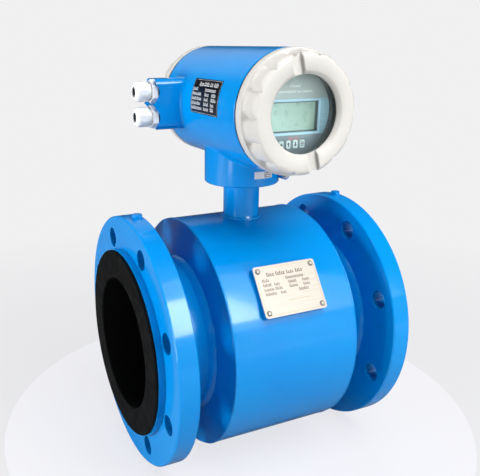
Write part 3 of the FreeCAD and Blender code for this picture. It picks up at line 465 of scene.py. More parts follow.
def cover_side(rim_r, depth):
    """Rows of the outside from the rear edge to the face: the round rim's, then the grip's heights."""
    rim = [(rim_r - RIM_CHAMFER, 0), (rim_r - 0.2 * MM, 0.2 * MM), (rim_r, RIM_CHAMFER),
           (rim_r, RIM_WIDTH - 1.2 * MM), (rim_r - 0.25 * MM, RIM_WIDTH - 0.5 * MM),
           (rim_r - 0.8 * MM, RIM_WIDTH - 0.1 * MM), (rim_r - 1.3 * MM, RIM_WIDTH)]
    heights = [RIM_WIDTH + RIM_ROOT * (k + 1) / ROOT_ROWS for k in range(ROOT_ROWS)]
    root_end, side_end = heights[-1], depth - EDGE_ROUND
    heights += [root_end + (side_end - root_end) * (k + 1) / SIDE_ROWS for k in range(SIDE_ROWS)]
    heights += [side_end + EDGE_ROUND * math.sin(math.pi / 2 * (k + 1) / EDGE_ROWS) for k in range(EDGE_ROWS)]
    return rim, heights


def cover_piece(node, body, turn, inner):
    """A lobed cover; inner(depth) gives the rest of its profile, from the face back to the rear edge."""
    low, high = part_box(node)
    rim_r = (high.x - low.x) / 2
    depth = high.y - low.y
    rear_y = high.y if turn is TURN_FORWARD else low.y
    rim, heights = cover_side(rim_r, depth)
    profile = rim + [(CREST_R, height) for height in heights] + inner(depth)
    grip_start, grip_end = len(rim), len(rim) + len(heights)
    root_r = rim[-1][0]

    def radius_at(row, angle, radius, height):
        if grip_start <= row < grip_end:
            grip = soft_min(grip_radius(angle), envelope_radius(height, depth), EDGE_BLEND)
            share = 1 - (1 - (height - RIM_WIDTH) / RIM_ROOT) ** 2 if height < RIM_WIDTH + RIM_ROOT else 1
            return root_r + (grip - root_r) * share
        if row >= grip_end and radius >= THREAD_R and 0 < height < THREAD_DEPTH:
            phase = (height / THREAD_PITCH - angle / (2 * math.pi)) % 1
            return radius + THREAD_HEIGHT * abs(2 * phase - 1)
        return radius

    columns = LOBES * COLUMNS_A_LOBE
    points = turned(profile, columns, radius_at, COVER_START)
    faces = grid_faces(len(profile), columns, close_rows=True)
    matrix = placed(turn, Vector((0, rear_y, head_z)))
    piece = add_piece(node + "_casting", points, faces, matrix, FINISHES["cover_paint"], body,
                      COVER_SHARP)
    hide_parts(node)
    return piece, matrix, rim_r, depth


def slot_section(depth):
    """Cross-section of a bar slot as (across, height), from one flared lip down and up to the other."""
    half = SLOT_WIDTH / 2
    floor = depth - SLOT_DEPTH
    top = depth + SLOT_DEPTH
    side = [(half + SLOT_FLARE, top), (half + SLOT_FLARE, depth), (half, depth - SLOT_FLARE)]
    side += arc(half - SLOT_ROUND, floor + SLOT_ROUND, SLOT_ROUND, 0, -90, 4)
    return side + [(-across, height) for across, height in reversed(side)]


def cut_slots(piece, matrix, inner_r, outer_r, depth):
    """Two slots across the face for the bar that turns the cover."""
    section = slot_section(depth)
    count = len(section)
    for k in range(2):
        cutter = bpy.data.meshes.new("slot_cutter")
        turn = Matrix.Rotation(COVER_START + math.pi * k, 4, "Z")
        corners = [(r, across, height) for r in (inner_r, outer_r) for across, height in section]
        faces = [tuple(range(count)), tuple(reversed(range(count, 2 * count)))]
        faces += [(i, i + count, (i + 1) % count + count, (i + 1) % count) for i in range(count)]
        cutter.from_pydata([matrix @ turn @ Vector(c) for c in corners], [], faces)
        tool = bpy.data.objects.new("slot_cutter", cutter)
        bpy.context.scene.collection.objects.link(tool)
        modifier = piece.modifiers.new("slot", "BOOLEAN")
        modifier.operation = "DIFFERENCE"
        modifier.solver = "EXACT"
        modifier.object = tool
        apply_modifiers(piece)
        bpy.data.objects.remove(tool)


def apply_modifiers(piece):
    graph = bpy.context.evaluated_depsgraph_get()
    mesh = bpy.data.meshes.new_from_object(piece.evaluated_get(graph))
    piece.modifiers.clear()
    piece.data = mesh
    smooth_by_angle(mesh, COVER_SHARP)


def thread_rows():
    """Rows of the cover's inside thread, from its end to the rear edge."""
    return [(THREAD_R, THREAD_DEPTH * (1 - k / THREAD_ROWS)) for k in range(THREAD_ROWS)] + [(THREAD_R, 0)]


def front_inner(depth):
    """From the face over the window's bevel, past the glass, to the thread."""
    glass_r = size("front_glass").x / 2
    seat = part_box("front_cover")[1].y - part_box("glass_gasket")[0].y
    bevel_r = WINDOW_R + WINDOW_BEVEL
    bevel_end = depth - WINDOW_BEVEL
    # Two points each for the small rounds at the bevel's rim and at its foot
    rim = [(bevel_r + 0.4 * MM, depth), (bevel_r - 0.2 * MM, depth - 0.35 * MM)]
    foot = [(WINDOW_R + 0.3 * MM, bevel_end + 0.3 * MM), (WINDOW_R, bevel_end - 0.2 * MM)]
    return rim + foot + [(WINDOW_R, seat), (glass_r, seat), (glass_r, THREAD_DEPTH)] + thread_rows()


def rear_inner(depth):
    """From the middle of the face, which keeps a pinhole, through the wall to the thread."""
    hollow_r = size("front_glass").x / 2
    wall_end = depth - REAR_WALL
    return [(CENTRE_HOLE_R, depth), (CENTRE_HOLE_R, wall_end), (hollow_r, wall_end),
            (hollow_r, THREAD_DEPTH)] + thread_rows()


def make_covers():
    piece, matrix, rim_r, depth = cover_piece("front_cover", "front_cover", TURN_FORWARD, front_inner)
    cut_slots(piece, matrix, WINDOW_R - SLOT_OVERRUN, rim_r, depth)
    piece, matrix, rim_r, depth = cover_piece("rear_cover", "rear_cover", TURN_BACKWARD, rear_inner)
    cut_slots(piece, matrix, rim_r - REAR_SLOT_LENGTH, rim_r + SLOT_OVERRUN, depth)


make_covers()

# ---------------------------------------------------------------- weld beads

BEAD_STEPS = 360
BEAD_SHARP = 60
RIPPLE_PITCH = 3.2 * MM
WELD_LEG = 7 * MM
EDGE_BEAD_R = 1.25 * MM
EDGE_BEAD_INSET = 1.2 * MM
PLATE_EDGE_INSET = 1.0 * MM
NECK_BEAD_R = 1.3 * MM
NECK_BEAD_OUT = 0.9 * MM


def wander(angle, seed):
    """Slow unevenness of a hand-laid bead, between -1 and 1."""
    waves = ((5, 1), (11, 2.3), (23, 0.7))
    return sum(math.sin(count * angle + shift * seed) for count, shift in waves) / 3


def ripple(distance):
    """Height of the overlapping scales along a bead, from 0 to 1."""
    return 1 - (distance / RIPPLE_PITCH % 1) ** 2


def add_bead(name, points, sides, matrix):
    """A closed bead through rings of points, with this many points a ring."""
    faces = grid_faces(len(points) // sides, sides, close_rows=True)
    add_piece(name, points, faces, matrix, FINISHES["blue_paint"], "meter", BEAD_SHARP)


def ring_bead(name, turn, x, radius, bead_r, seed):
    """Round bead on an edge that runs round the pipe's axis."""
    sides = 10
    points = []
    for i in range(BEAD_STEPS):
        angle = 2 * math.pi * i / BEAD_STEPS
        centre_r = radius + 0.25 * bead_r * wander(angle, seed + 1)
        r = bead_r * (1 + 0.22 * wander(angle, seed) + 0.14 * ripple(radius * angle))
        for j in range(sides):
            a = 2 * math.pi * j / sides
            across = centre_r + r * math.cos(a)
            points.append((across * math.cos(angle), across * math.sin(angle), r * math.sin(a)))
    add_bead(name, points, sides, placed(turn, Vector((x, 0, 0))))


def corner_bead(name, turn, x, radius, leg, seed):
    """Bead in the corner between the pipe and a plate whose face lies at x; local +Z leaves the plate."""
    sides = 9
    swell = 0.9 * MM
    sunk = 0.15 * MM
    points = []
    for i in range(BEAD_STEPS):
        angle = 2 * math.pi * i / BEAD_STEPS
        grow = leg * (1 + 0.06 * wander(angle, seed))
        scale = 0.22 * MM * ripple(radius * angle)
        for j in range(sides):
            share = j / (sides - 1)
            bulge = (swell * (1 + 0.3 * wander(angle, seed + 2)) + scale) * math.sin(math.pi * share)
            out = grow * share + bulge * math.sqrt(0.5) - sunk
            up = grow * (1 - share) + bulge * math.sqrt(0.5) - sunk
            r = radius + out
            points.append((r * math.cos(angle), r * math.sin(angle), up))
        r = radius - 2 * sunk
        points.append((r * math.cos(angle), r * math.sin(angle), -2 * sunk))
    add_bead(name, points, sides + 1, placed(turn, Vector((x, 0, 0))))


def saddle_bead(name, radius, bead_r, seed):
    """Bead at the neck's foot, along the curve where it meets the shell."""
    steps, sides = 160, 8
    points = []
    for i in range(steps):
        angle = 2 * math.pi * i / steps
        r = bead_r * (1 + 0.25 * wander(angle, seed) + 0.2 * ripple(radius * angle))
        outward = Vector((math.cos(angle), math.sin(angle), 0))
        centre = outward * radius
        centre.z = math.sqrt(shell_r ** 2 - centre.y ** 2) + 0.2 * bead_r
        for j in range(sides):
            a = 2 * math.pi * j / sides
            points.append(tuple(centre + outward * (r * math.cos(a)) + Vector((0, 0, r * math.sin(a)))))
    add_bead(name, points, sides, Matrix.Identity(4))


def make_beads():
    # The flange's box ends at the tip of its weld
    flange_back_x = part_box("outlet_flange")[0].x + WELD_LEG
    edge_x = shell_half - EDGE_BEAD_INSET
    edge_r = shell_r - PLATE_EDGE_INSET
    ends = (("outlet", TURN_OUTLET, TURN_INLET, 1), ("inlet", TURN_INLET, TURN_OUTLET, -1))
    for end, out, back, sign in ends:
        ring_bead(end + "_shell_bead", out, sign * edge_x, edge_r, EDGE_BEAD_R, 1.7 * sign)
        corner_bead(end + "_plate_bead", out, sign * shell_half, pipe_r, WELD_LEG, 3.1 * sign)
        corner_bead(end + "_flange_bead", back, sign * flange_back_x, pipe_r, WELD_LEG, 4.6 * sign)
    saddle_bead("neck_bead", neck_r + NECK_BEAD_OUT, NECK_BEAD_R, 0.4)


make_beads()

# ---------------------------------------------------------------- seals between covers and barrel

SEAL_OUTER_R = 59.1 * MM
SEAL_INNER_R = 55.95 * MM
SEAL_THICKNESS = 2.4 * MM
SEAL_ROUND = 0.9 * MM
SEAL_COLUMNS = 180


def make_seals():
    """The rubber rings that fill the joints between the covers and the barrel, rounded outwards."""
    half = SEAL_THICKNESS / 2
    centre_r = SEAL_OUTER_R - SEAL_ROUND
    profile = arc(centre_r, half - SEAL_ROUND, SEAL_ROUND, 90, 0, 4)
    profile += arc(centre_r, SEAL_ROUND - half, SEAL_ROUND, 0, -90, 4)
    profile += [(SEAL_INNER_R, -half), (SEAL_INNER_R, half)]
    points = turned(profile, SEAL_COLUMNS)
    faces = [face[::-1] for face in grid_faces(len(profile), SEAL_COLUMNS, close_rows=True)]
    for place, turn in (("front", TURN_FORWARD), ("rear", TURN_BACKWARD)):
        node = place + "_o_ring"
        matrix = placed(turn, Vector((0, middle(node).y, head_z)))
        piece = add_piece(place + "_seal_ring", points, faces, matrix, FINISHES["seal_rubber"],
                          place + "_seal", 50)
        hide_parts(node)


make_seals()

# ---------------------------------------------------------------- threads


RING_OVER_SPIGOT = 2.6 * MM
SPIGOT_THREAD = 0.3 * MM, 7.4 * MM
SPIGOT_RIDGE = 0.2 * MM
SLEEVE_R = 8.7 * MM
SLEEVE_THREAD = -9.6 * MM, -0.6 * MM
SLEEVE_PITCH = 1.5 * MM
SLEEVE_RIDGE = 0.22 * MM


def thread_ridge(name, matrix, radius, span, pitch, height, slot):
    """Helical ridge on a cylinder of the meter's own body, between two places on local Z."""
    columns = 72
    faded = 10
    start, end = span
    count = int(((end - start) / pitch - 1) * columns)
    foot, foot_half, tip_half = -0.1 * MM, 0.42 * pitch, 0.1 * pitch
    section = [(foot, -foot_half), (height, -tip_half), (height, tip_half), (foot, foot_half)]
    points = []
    for i in range(count + 1):
        angle = 2 * math.pi * i / columns
        rise = start + pitch * (0.5 + i / columns)
        fade = min(1, i / faded, (count - i) / faded)
        for out, along_axis in section:
            r = radius + (out * fade if out > 0 else out)
            points.append((r * math.cos(angle), r * math.sin(angle), rise + along_axis))
    faces = grid_faces(count + 1, len(section))
    last = count * len(section)
    faces += [tuple(range(len(section))), tuple(last + j for j in reversed(range(len(section))))]
    add_piece(name, points, faces, matrix, FINISHES[slot], "meter", 60)


def make_threads():
    """Threads of the two spigots that the covers screw on."""
    spigot_r = size("front_o_ring").x / 2 - RING_OVER_SPIGOT
    front_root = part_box("front_cover")[1].y
    rear_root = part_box("rear_cover")[0].y
    for name, turn, root in (("front", TURN_FORWARD, front_root), ("rear", TURN_BACKWARD, rear_root)):
        matrix = placed(turn, Vector((0, root, head_z)))
        thread_ridge(name + "_spigot_thread", matrix, spigot_r, SPIGOT_THREAD, THREAD_PITCH, SPIGOT_RIDGE,
                     "blue_paint")


make_threads()

# ---------------------------------------------------------------- cable glands

CAP_R = 10.7 * MM
CAP_TIP_R = 6.0 * MM
CAP_MOUTH_R = 5.4 * MM
CAP_DOME = 5.5 * MM
CAP_WALL = 1.6 * MM
CAP_FLAT_R = 10.25 * MM
CAP_FLATS = 6
SOCKET_R = 9.05 * MM
SOCKET_DEPTH = 9.35 * MM
SEAL_ROOM_R = 7.15 * MM
CAP_EDGE = 0.5 * MM
CAP_LIP = 0.35 * MM
CAP_SIDE_ROWS, CAP_DOME_ROWS, CAP_COLUMNS = 5, 12, 96


def cap_piece(node, body):
    """Domed gland nut: six soft flats that run out into the dome, open at its tip."""
    low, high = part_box(node)
    length = high.x - low.x
    start = length - CAP_DOME
    outside = [(CAP_R - CAP_EDGE, 0), (CAP_R - 0.15 * MM, 0.12 * MM), (CAP_R, CAP_EDGE)]
    flat_start = len(outside)
    side = start - CAP_EDGE
    outside += [(CAP_R, CAP_EDGE + side * (k + 1) / CAP_SIDE_ROWS) for k in range(CAP_SIDE_ROWS)]
    for k in range(1, CAP_DOME_ROWS + 1):
        a = math.pi / 2 * k / CAP_DOME_ROWS
        outside.append((CAP_TIP_R + (CAP_R - CAP_TIP_R) * math.cos(a), start + CAP_DOME * math.sin(a)))
    wall_end = length - CAP_WALL
    inside = [(CAP_MOUTH_R + CAP_LIP, length), (CAP_MOUTH_R, length - CAP_LIP), (CAP_MOUTH_R, wall_end),
              (SEAL_ROOM_R, wall_end), (SEAL_ROOM_R, SOCKET_DEPTH), (SOCKET_R, SOCKET_DEPTH), (SOCKET_R, 0)]
    flat_rows = range(flat_start, flat_start + CAP_SIDE_ROWS + 3)
    pitch = 2 * math.pi / CAP_FLATS

    def radius_at(row, angle, radius, height):
        if row not in flat_rows:
            return radius
        offset = (angle + pitch / 2) % pitch - pitch / 2
        return min(radius, soft_min(radius, CAP_FLAT_R / math.cos(offset), 0.25 * MM) + 0.06 * MM)

    profile = outside + inside
    points = turned(profile, CAP_COLUMNS, radius_at)
    faces = grid_faces(len(profile), CAP_COLUMNS, close_rows=True)
    matrix = placed(TURN_INLET, Vector((high.x, middle(node).y, middle(node).z)))
    piece = add_piece(node + "_moulding", points, faces, matrix, FINISHES["gland_nylon"], body,
                      40)
    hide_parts(node)


def make_glands():
    for place in ("upper", "lower"):
        cap_piece(place + "_gland_cap", place + "_cap")
        centre = middle(place + "_gland_body")
        matrix = placed(TURN_INLET, Vector((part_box(place + "_gland_body")[0].x, centre.y, centre.z)))
        thread_ridge(place + "_sleeve_thread", matrix, SLEEVE_R, SLEEVE_THREAD, SLEEVE_PITCH, SLEEVE_RIDGE,
                     "gland_nylon")


make_glands()

# ---------------------------------------------------------------- printing

INK_LOW, INK_HIGH = -0.02 * MM, 0.05 * MM


class Print:
    """Thin raised marks on one surface; space(u, v, lift) gives the place of a mark's point."""

    def __init__(self, space):
        self.space = space
        self.points, self.faces = [], []

    def outline(self, corners, high=INK_HIGH):
        """A flat closed mark with its corners in order."""
        base = len(self.points)
        count = len(corners)
        for lift in (INK_LOW, high):
            self.points += [self.space(u, v, lift) for u, v in corners]
        self.faces.append(tuple(base + i for i in reversed(range(count))))
        self.faces.append(tuple(base + count + i for i in range(count)))
        for i in range(count):
            k = (i + 1) % count
            self.faces.append((base + i, base + k, base + count + k, base + count + i))

    def bar(self, u0, v0, u1, v1, high=INK_HIGH, steps=1):
        """A rectangle, split along v where it has to follow a curve."""
        for k in range(steps):
            low_v = v0 + (v1 - v0) * k / steps
            high_v = v0 + (v1 - v0) * (k + 1) / steps
            self.outline([(u0, low_v), (u1, low_v), (u1, high_v), (u0, high_v)], high)

    def frame(self, u0, v0, u1, v1, width, steps=1):
        self.bar(u0, v0, u1, v0 + width)
        self.bar(u0, v1 - width, u1, v1)
        self.bar(u0, v0 + width, u0 + width, v1 - width, steps=steps)
        self.bar(u1 - width, v0 + width, u1, v1 - width, steps=steps)

    def word(self, u, v, letters, height, seed):
        """Greeked word: a foot, a stem and often a head a letter. Returns where it ends."""
        width = height * 0.56
        stroke, stem = height * 0.2, width * 0.4
        for k in range(letters):
            kind = (seed * 7 + k * 5 + k * k) % 9
            top = height if kind in (0, 4) or k == 0 else height * 0.72
            gap = width * (0.18 if kind % 2 else 0.28)
            self.bar(u, v, u + width - gap, v + stroke)
            self.bar(u, v + stroke, u + stem, v + top)
            if kind % 3:
                self.bar(u + stem, v + top - stroke, u + width - gap, v + top)
            u += width
        return u

    def row(self, u, v, words, height, seed):
        """Greeked words one after another, given as letter counts."""
        for k, letters in enumerate(words):
            u = self.word(u, v, letters, height, seed + k) + height * 0.45

    def table(self, left, width, shift, rows, height, seed):
        """Rows of greeked words in columns; a row is its v in millimetres and its letter counts."""
        for v, words in rows:
            u = left
            for k, letters in enumerate(words):
                self.word(u, v * MM, letters, height, int(v) + seed + k)
                u += width / len(words) + (shift if k else -shift)

    def add(self, name, material, body, slot):
        add_piece(name, self.points, self.faces, Matrix.Identity(4), material, body, 20)


def on_panel(u, v, lift):
    return (u, panel_y - lift, head_z + v)


def on_lcd(u, v, lift):
    return (u, lcd_y - lift, head_z + v)


PANEL_R = 41.8 * MM
LCD_HALF = 29 * MM
LCD_TOP, LCD_BOTTOM = 10.3 * MM, -18.3 * MM
LCD_OVERLAP = 1 * MM
BAND_TOP, BAND_BOTTOM = 12.8 * MM, -21 * MM
BAND_STEPS = 16
BAND_INK = 0.03 * MM
FRAME_HALF, FRAME_TOP, FRAME_BOTTOM = 31.5 * MM, 12.5 * MM, -20.5 * MM


def chord(v):
    """Half the panel's width at a height over its middle."""
    return math.sqrt(PANEL_R ** 2 - v * v)


def make_panel():
    """Printed front film: a blue band with pale lines round the display, and greeked rows above it."""
    band = Print(on_panel)
    heights = [BAND_BOTTOM + (BAND_TOP - BAND_BOTTOM) * k / BAND_STEPS for k in range(BAND_STEPS + 1)]
    for side in (-1, 1):
        for v0, v1 in zip(heights, heights[1:]):
            corners = [(side * LCD_HALF, v0), (side * chord(v0), v0),
                       (side * chord(v1), v1), (side * LCD_HALF, v1)]
            band.outline(corners if side > 0 else corners[::-1], BAND_INK)
    band.bar(-LCD_HALF, LCD_TOP, LCD_HALF, BAND_TOP, BAND_INK)
    band.bar(-LCD_HALF, BAND_BOTTOM, LCD_HALF, LCD_BOTTOM, BAND_INK)
    band.add("panel_band", BAND_BLUE, "meter", "panel_film")

    line = Print(on_panel)
    line.frame(-FRAME_HALF, FRAME_BOTTOM, FRAME_HALF, FRAME_TOP, 1.5 * MM)
    line.add("panel_frame", BAND_LINE, "meter", "panel_film")

    thin = Print(on_panel)
    for v in (9 * MM, -7 * MM, -BAND_TOP):
        for side in (-1, 1):
            u0, u1 = sorted((side * (FRAME_HALF + 0.1 * MM), side * (chord(v) - 0.2 * MM)))
            thin.bar(u0, v, u1, v + 0.5 * MM)
    thin.add("panel_lines", BAND_THIN, "meter", "panel_film")

    text = Print(on_panel)
    text.row(-4 * MM, 23.6 * MM, (1, 7), 2.4 * MM, 3)
    text.row(-16.5 * MM, 18.6 * MM, (15, 4, 9), 2.3 * MM, 5)
    text.add("panel_text", PRINT_WHITE, "meter", "panel_film")

    label = Print(on_panel)
    label.row(-3 * MM, -25.6 * MM, (3, 3), 3.2 * MM, 2)
    label.add("panel_label", PRINT_RED, "meter", "panel_film")


def make_lcd():
    """The display's pale face behind the film's window, and a dark frame round its edge, painted shade of the
    recess walls.
    """
    left, right = -LCD_HALF - LCD_OVERLAP, LCD_HALF + LCD_OVERLAP
    low, high = LCD_BOTTOM - LCD_OVERLAP, LCD_TOP + LCD_OVERLAP
    face = Print(on_lcd)
    face.bar(left, low, right, high, 0.3 * MM)
    face.add("lcd_face", LCD_GREEN, "meter", "display")
    # Dark frame on the display's edge, painted shade where the recess walls shade it
    edge = Print(lambda u, v, lift: on_lcd(u, v, lift + 0.35 * MM))
    edge.frame(left, low, right, high, 2.2 * MM)
    edge.add("lcd_shade_rim", LCD_SHADE_FRAME, "meter", "display")


# Marks on the four keys' faces, in millimetres from the middle: left, up, down, and a list
KEY_ICONS = {
    "key_1": [[(-1.5, 0), (0.3, 1.9), (0.3, -1.9)], [(0.3, 0.5), (1.5, 0.5), (1.5, -0.5), (0.3, -0.5)][::-1]],
    "key_2": [[(0, 2.2), (-1.6, 0.2), (1.6, 0.2)], [(-0.5, 0.2), (-0.5, -2.2), (0.5, -2.2), (0.5, 0.2)]],
    "key_3": [[(0, -2.2), (1.6, -0.2), (-1.6, -0.2)], [(0.5, -0.2), (0.5, 2.2), (-0.5, 2.2), (-0.5, -0.2)]],
    "key_4": [[(-1.6, top), (-1.6, foot), (1.6, foot), (1.6, top)]
              for top, foot in ((1.9, 1.2), (0.4, -0.3), (-1.1, -1.8))],
}


def make_key_icons():
    for node, shapes in KEY_ICONS.items():
        centre = middle(node)
        face_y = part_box(node)[0].y
        marks = Print(lambda u, v, lift: (centre.x + u, face_y - lift, centre.z + v))
        for corners in shapes:
            marks.outline([(u * MM, v * MM) for u, v in corners])
        marks.add(node + "_icon", PRINT_BLACK, node, "key_rubber")


make_panel()
make_lcd()
make_key_icons()

# ---------------------------------------------------------------- plate, label and sticker

# Nameplate: u runs along the pipe, v up the plate's slope
PLATE_TILT = math.radians(54)
PLATE_HEIGHT = 54.5 * MM
PLATE_OVER_SHELL = 5 * MM
PLATE_FRAME_INSET = 2.2 * MM
RIVET_INSET = 5 * MM
# Outer radius of the dark ring round each rivet, painted shadow of the rivet head
RIVET_SHADOW_R = 2.9 * MM
RIVET_SHADOW_SIDES = 24
plate_centre = middle("nameplate")
plate_width = size("nameplate").x
plate_top = shell_r + PLATE_OVER_SHELL


def on_plate(u, v, lift):
    out = plate_top + lift
    return (plate_centre.x + u, -out * math.sin(PLATE_TILT) + v * math.cos(PLATE_TILT),
            out * math.cos(PLATE_TILT) + v * math.sin(PLATE_TILT))


def make_nameplate():
    """Etched rows, a thin frame and line, and dark rings round the rivets, painted shadow of their heads."""
    text = Print(on_plate)
    text.row(-23 * MM, 15.6 * MM, (4, 5, 4, 4), 4.0 * MM, 4)
    rows = ((10.2, (5, 13)), (5.4, (6, 4, 6, 5)), (0.6, (7, 5, 6, 5)), (-4.2, (8, 4, 7)))
    text.table(-30 * MM, 60 * MM, 2 * MM, rows, 3.0 * MM, 9)
    text.add("nameplate_text", PRINT_GREY, "meter", "plate_aluminium")

    half_u, half_v = plate_width / 2 - PLATE_FRAME_INSET, PLATE_HEIGHT / 2 - PLATE_FRAME_INSET
    lines = Print(on_plate)
    lines.frame(-half_u, -half_v, half_u, half_v, 0.3 * MM)
    lines.bar(-6 * MM, -12.4 * MM, 20 * MM, -12.0 * MM)
    lines.add("nameplate_lines", PRINT_GOLD, "meter", "plate_aluminium")

    # Dark rings round the rivets: painted shadow of the rivet heads on the plate
    shadow_rings = Print(on_plate)
    turns = [2 * math.pi * k / RIVET_SHADOW_SIDES for k in range(RIVET_SHADOW_SIDES)]
    for side_u in (-1, 1):
        for side_v in (-1, 1):
            u = side_u * (plate_width / 2 - RIVET_INSET)
            v = side_v * (PLATE_HEIGHT / 2 - RIVET_INSET)
            shadow_rings.outline([(u + RIVET_SHADOW_R * math.cos(a), v + RIVET_SHADOW_R * math.sin(a)) for a in turns])
    shadow_rings.add("rivet_painted_shadows", PRINT_BLACK, "meter", "plate_aluminium")


make_nameplate()

# Rating label, wrapped round the barrel: u runs towards the display, v up
LABEL_TURN = math.radians(168.6)
LABEL_THICKNESS = 0.3 * MM
label_y = middle("rating_label").y
label_r = barrel_r + LABEL_THICKNESS


def on_label(u, v, lift):
    angle = LABEL_TURN - v / label_r
    r = label_r + lift
    return (r * math.cos(angle), label_y - u, head_z + r * math.sin(angle))


def make_rating_label():
    text = Print(on_label)
    text.row(-17 * MM, 10.2 * MM, (4, 5, 3, 4), 4.1 * MM, 2)
    rows = ((5.2, (6, 13)), (0.5, (7, 4, 5, 5)), (-4.2, (7, 5, 5, 6)), (-8.9, (8, 4, 6, 4)),
            (-13.6, (7, 6, 6, 4)))
    text.table(-29 * MM, 58 * MM, 1 * MM, rows, 3.3 * MM, 20)
    text.frame(-30.4 * MM, -16.6 * MM, 30.4 * MM, 16.6 * MM, 0.25 * MM, 12)
    text.add("rating_text", PRINT_WHITE, "meter", "black_label")


make_rating_label()

# Sticker low on the head's base: u runs round to the right, v up
STICKER_TURN = math.radians(-84)
BASE_R = 41.8 * MM
DIGIT_WIDTH, DIGIT_HEIGHT, DIGIT_STROKE, DIGIT_GAP = 2.6 * MM, 4.8 * MM, 0.75 * MM, 1.3 * MM
FIRST_DIGIT_U = -1.5 * MM
sticker_z = middle("serial_sticker").z
sticker_r = BASE_R + LABEL_THICKNESS


def on_sticker(u, v, lift):
    angle = STICKER_TURN + u / sticker_r
    r = sticker_r + lift
    return (r * math.cos(angle), r * math.sin(angle), sticker_z + v)


# Seven segments of a digit in shares of its width and height, from corner to corner
SEGMENTS = {"a": (0, 1, 1, 1), "b": (1, 0.5, 1, 1), "c": (1, 0, 1, 0.5), "d": (0, 0, 1, 0),
            "e": (0, 0, 0, 0.5), "f": (0, 0.5, 0, 1), "g": (0, 0.5, 1, 0.5)}
DIGITS = {"1": "bc", "2": "abdeg", "3": "abcdg"}


def make_sticker():
    text = Print(on_sticker)
    half_stroke = DIGIT_STROKE / 2
    u = FIRST_DIGIT_U
    for digit in "123":
        for name in DIGITS[digit]:
            u0, v0, u1, v1 = SEGMENTS[name]
            low, high = (v0 - 0.5) * DIGIT_HEIGHT, (v1 - 0.5) * DIGIT_HEIGHT
            text.bar(u + u0 * DIGIT_WIDTH - half_stroke, low - half_stroke,
                     u + u1 * DIGIT_WIDTH + half_stroke, high + half_stroke)
        u += DIGIT_WIDTH + DIGIT_GAP
    text.add("sticker_digits", PRINT_BLACK, "meter", "white_label")


make_sticker()

# ---------------------------------------------------------------- floor, light and camera

BACKGROUND = srgb(240, 240, 241)
FLOOR_GLOW = srgb(216, 216, 218)
TABLE_GLOW = srgb(222, 222, 226)
STAGE_WHITE = srgb(196, 198, 200)
STAGE_DULL = srgb(118, 118, 120)
FLOOR_RADIUS, TABLE_RADIUS = 3.0, 0.3
FLOOR_CLEARANCE, TABLE_CLEARANCE = 0.6 * MM, 0.1 * MM
TABLE_PLACE = 13 * MM, 24 * MM


def mixed(tree, share, one, other):
    """The one shader where share is 0, and the other where it is 1."""
    mix = tree.nodes.new("ShaderNodeMixShader")
    for value, socket in ((share, "Fac"), (one, 1), (other, 2)):
        tree.links.new(value, mix.inputs[socket])
    return mix.outputs["Shader"]


def combined(tree, operation, one, other):
    """Two values multiplied or added; the other may be a plain number."""
    result = tree.nodes.new("ShaderNodeMath")
    result.operation = operation
    tree.links.new(one, result.inputs[0])
    if isinstance(other, float):
        result.inputs[1].default_value = other
    else:
        tree.links.new(other, result.inputs[1])
    return result.outputs["Value"]


def stage_material(name, colour, glow_colour, near, far):
    """White surface that bounces light, dull in mirrors.

    The camera sees it lifted towards the background, and as the plain background from far out on.
    """
    material = new_material(name, colour, 0.9)
    tree = material.node_tree
    white = add_node(tree, "ShaderNodeBsdfDiffuse", Color=STAGE_WHITE)
    dull = add_node(tree, "ShaderNodeBsdfDiffuse", Color=STAGE_DULL)
    glow = add_node(tree, "ShaderNodeEmission", Color=glow_colour)
    plain = add_node(tree, "ShaderNodeEmission", Color=BACKGROUND)
    fade = add_node(tree, "ShaderNodeMapRange", From_Min=near, From_Max=far)
    rays = tree.nodes.new("ShaderNodeLightPath")
    coordinates = tree.nodes.new("ShaderNodeTexCoord")
    length = tree.nodes.new("ShaderNodeVectorMath")
    length.operation = "LENGTH"
    lifted = tree.nodes.new("ShaderNodeAddShader")
    tree.links.new(coordinates.outputs["Object"], length.inputs[0])
    tree.links.new(length.outputs["Value"], fade.inputs["Value"])
    tree.links.new(shader_of(material).outputs["BSDF"], lifted.inputs[0])
    tree.links.new(glow.outputs["Emission"], lifted.inputs[1])
    seen = rays.outputs["Is Camera Ray"]
    bounced = mixed(tree, rays.outputs["Is Glossy Ray"], white.outputs["BSDF"], dull.outputs["BSDF"])
    nearby = mixed(tree, seen, bounced, lifted.outputs["Shader"])
    seen_far = combined(tree, "MULTIPLY", fade.outputs["Result"], seen)
    surface = mixed(tree, seen_far, nearby, plain.outputs["Emission"])
    tree.links.new(surface, tree.nodes["Material Output"].inputs["Surface"])
    return material


def stage_disc(name, sides, radius, place, material):
    bpy.ops.mesh.primitive_circle_add(vertices=sides, radius=radius, fill_type="NGON", location=place)
    disc = bpy.context.object
    disc.name = name
    disc.data.materials.append(material)
    return disc


def add_floor():
    """Pale floor that melts into the background, with a white round table top under the meter."""
    floor = stage_disc("floor", 96, FLOOR_RADIUS, (0, 0, floor_z - FLOOR_CLEARANCE),
                       stage_material("floor", srgb(110, 110, 110), FLOOR_GLOW, 0.45, 0.95))
    table = stage_disc("table_top", 180, TABLE_RADIUS, (*TABLE_PLACE, floor_z - TABLE_CLEARANCE),
                       stage_material("table_white", srgb(120, 120, 122), TABLE_GLOW, 0.6, 0.9))


LAMP_DISTANCE = 1.7

# Each light as name, azimuth, elevation, width, height and radiance
FILLS = (("left_fill", -93, 5, 0.8, 0.9, 19.5), ("front_fill", 27, 6, 0.75, 1.2, 8.0),
         ("top_fill", 12, 60, 1.3, 1.3, 7.6), ("rear_fill", 155, 30, 1.2, 1.2, 2.5))
MIRRORED = (("front_box", 20, 36, 0.45, 0.85, 10.0), ("front_wide", 31, 40, 0.75, 1.6, 1.4),
            ("left_strip", -64, -2, 0.4, 1.3, 3.2))
WINDOW_FILL = ("window_fill", -14, 8, 0.7, 0.9, 20.0)


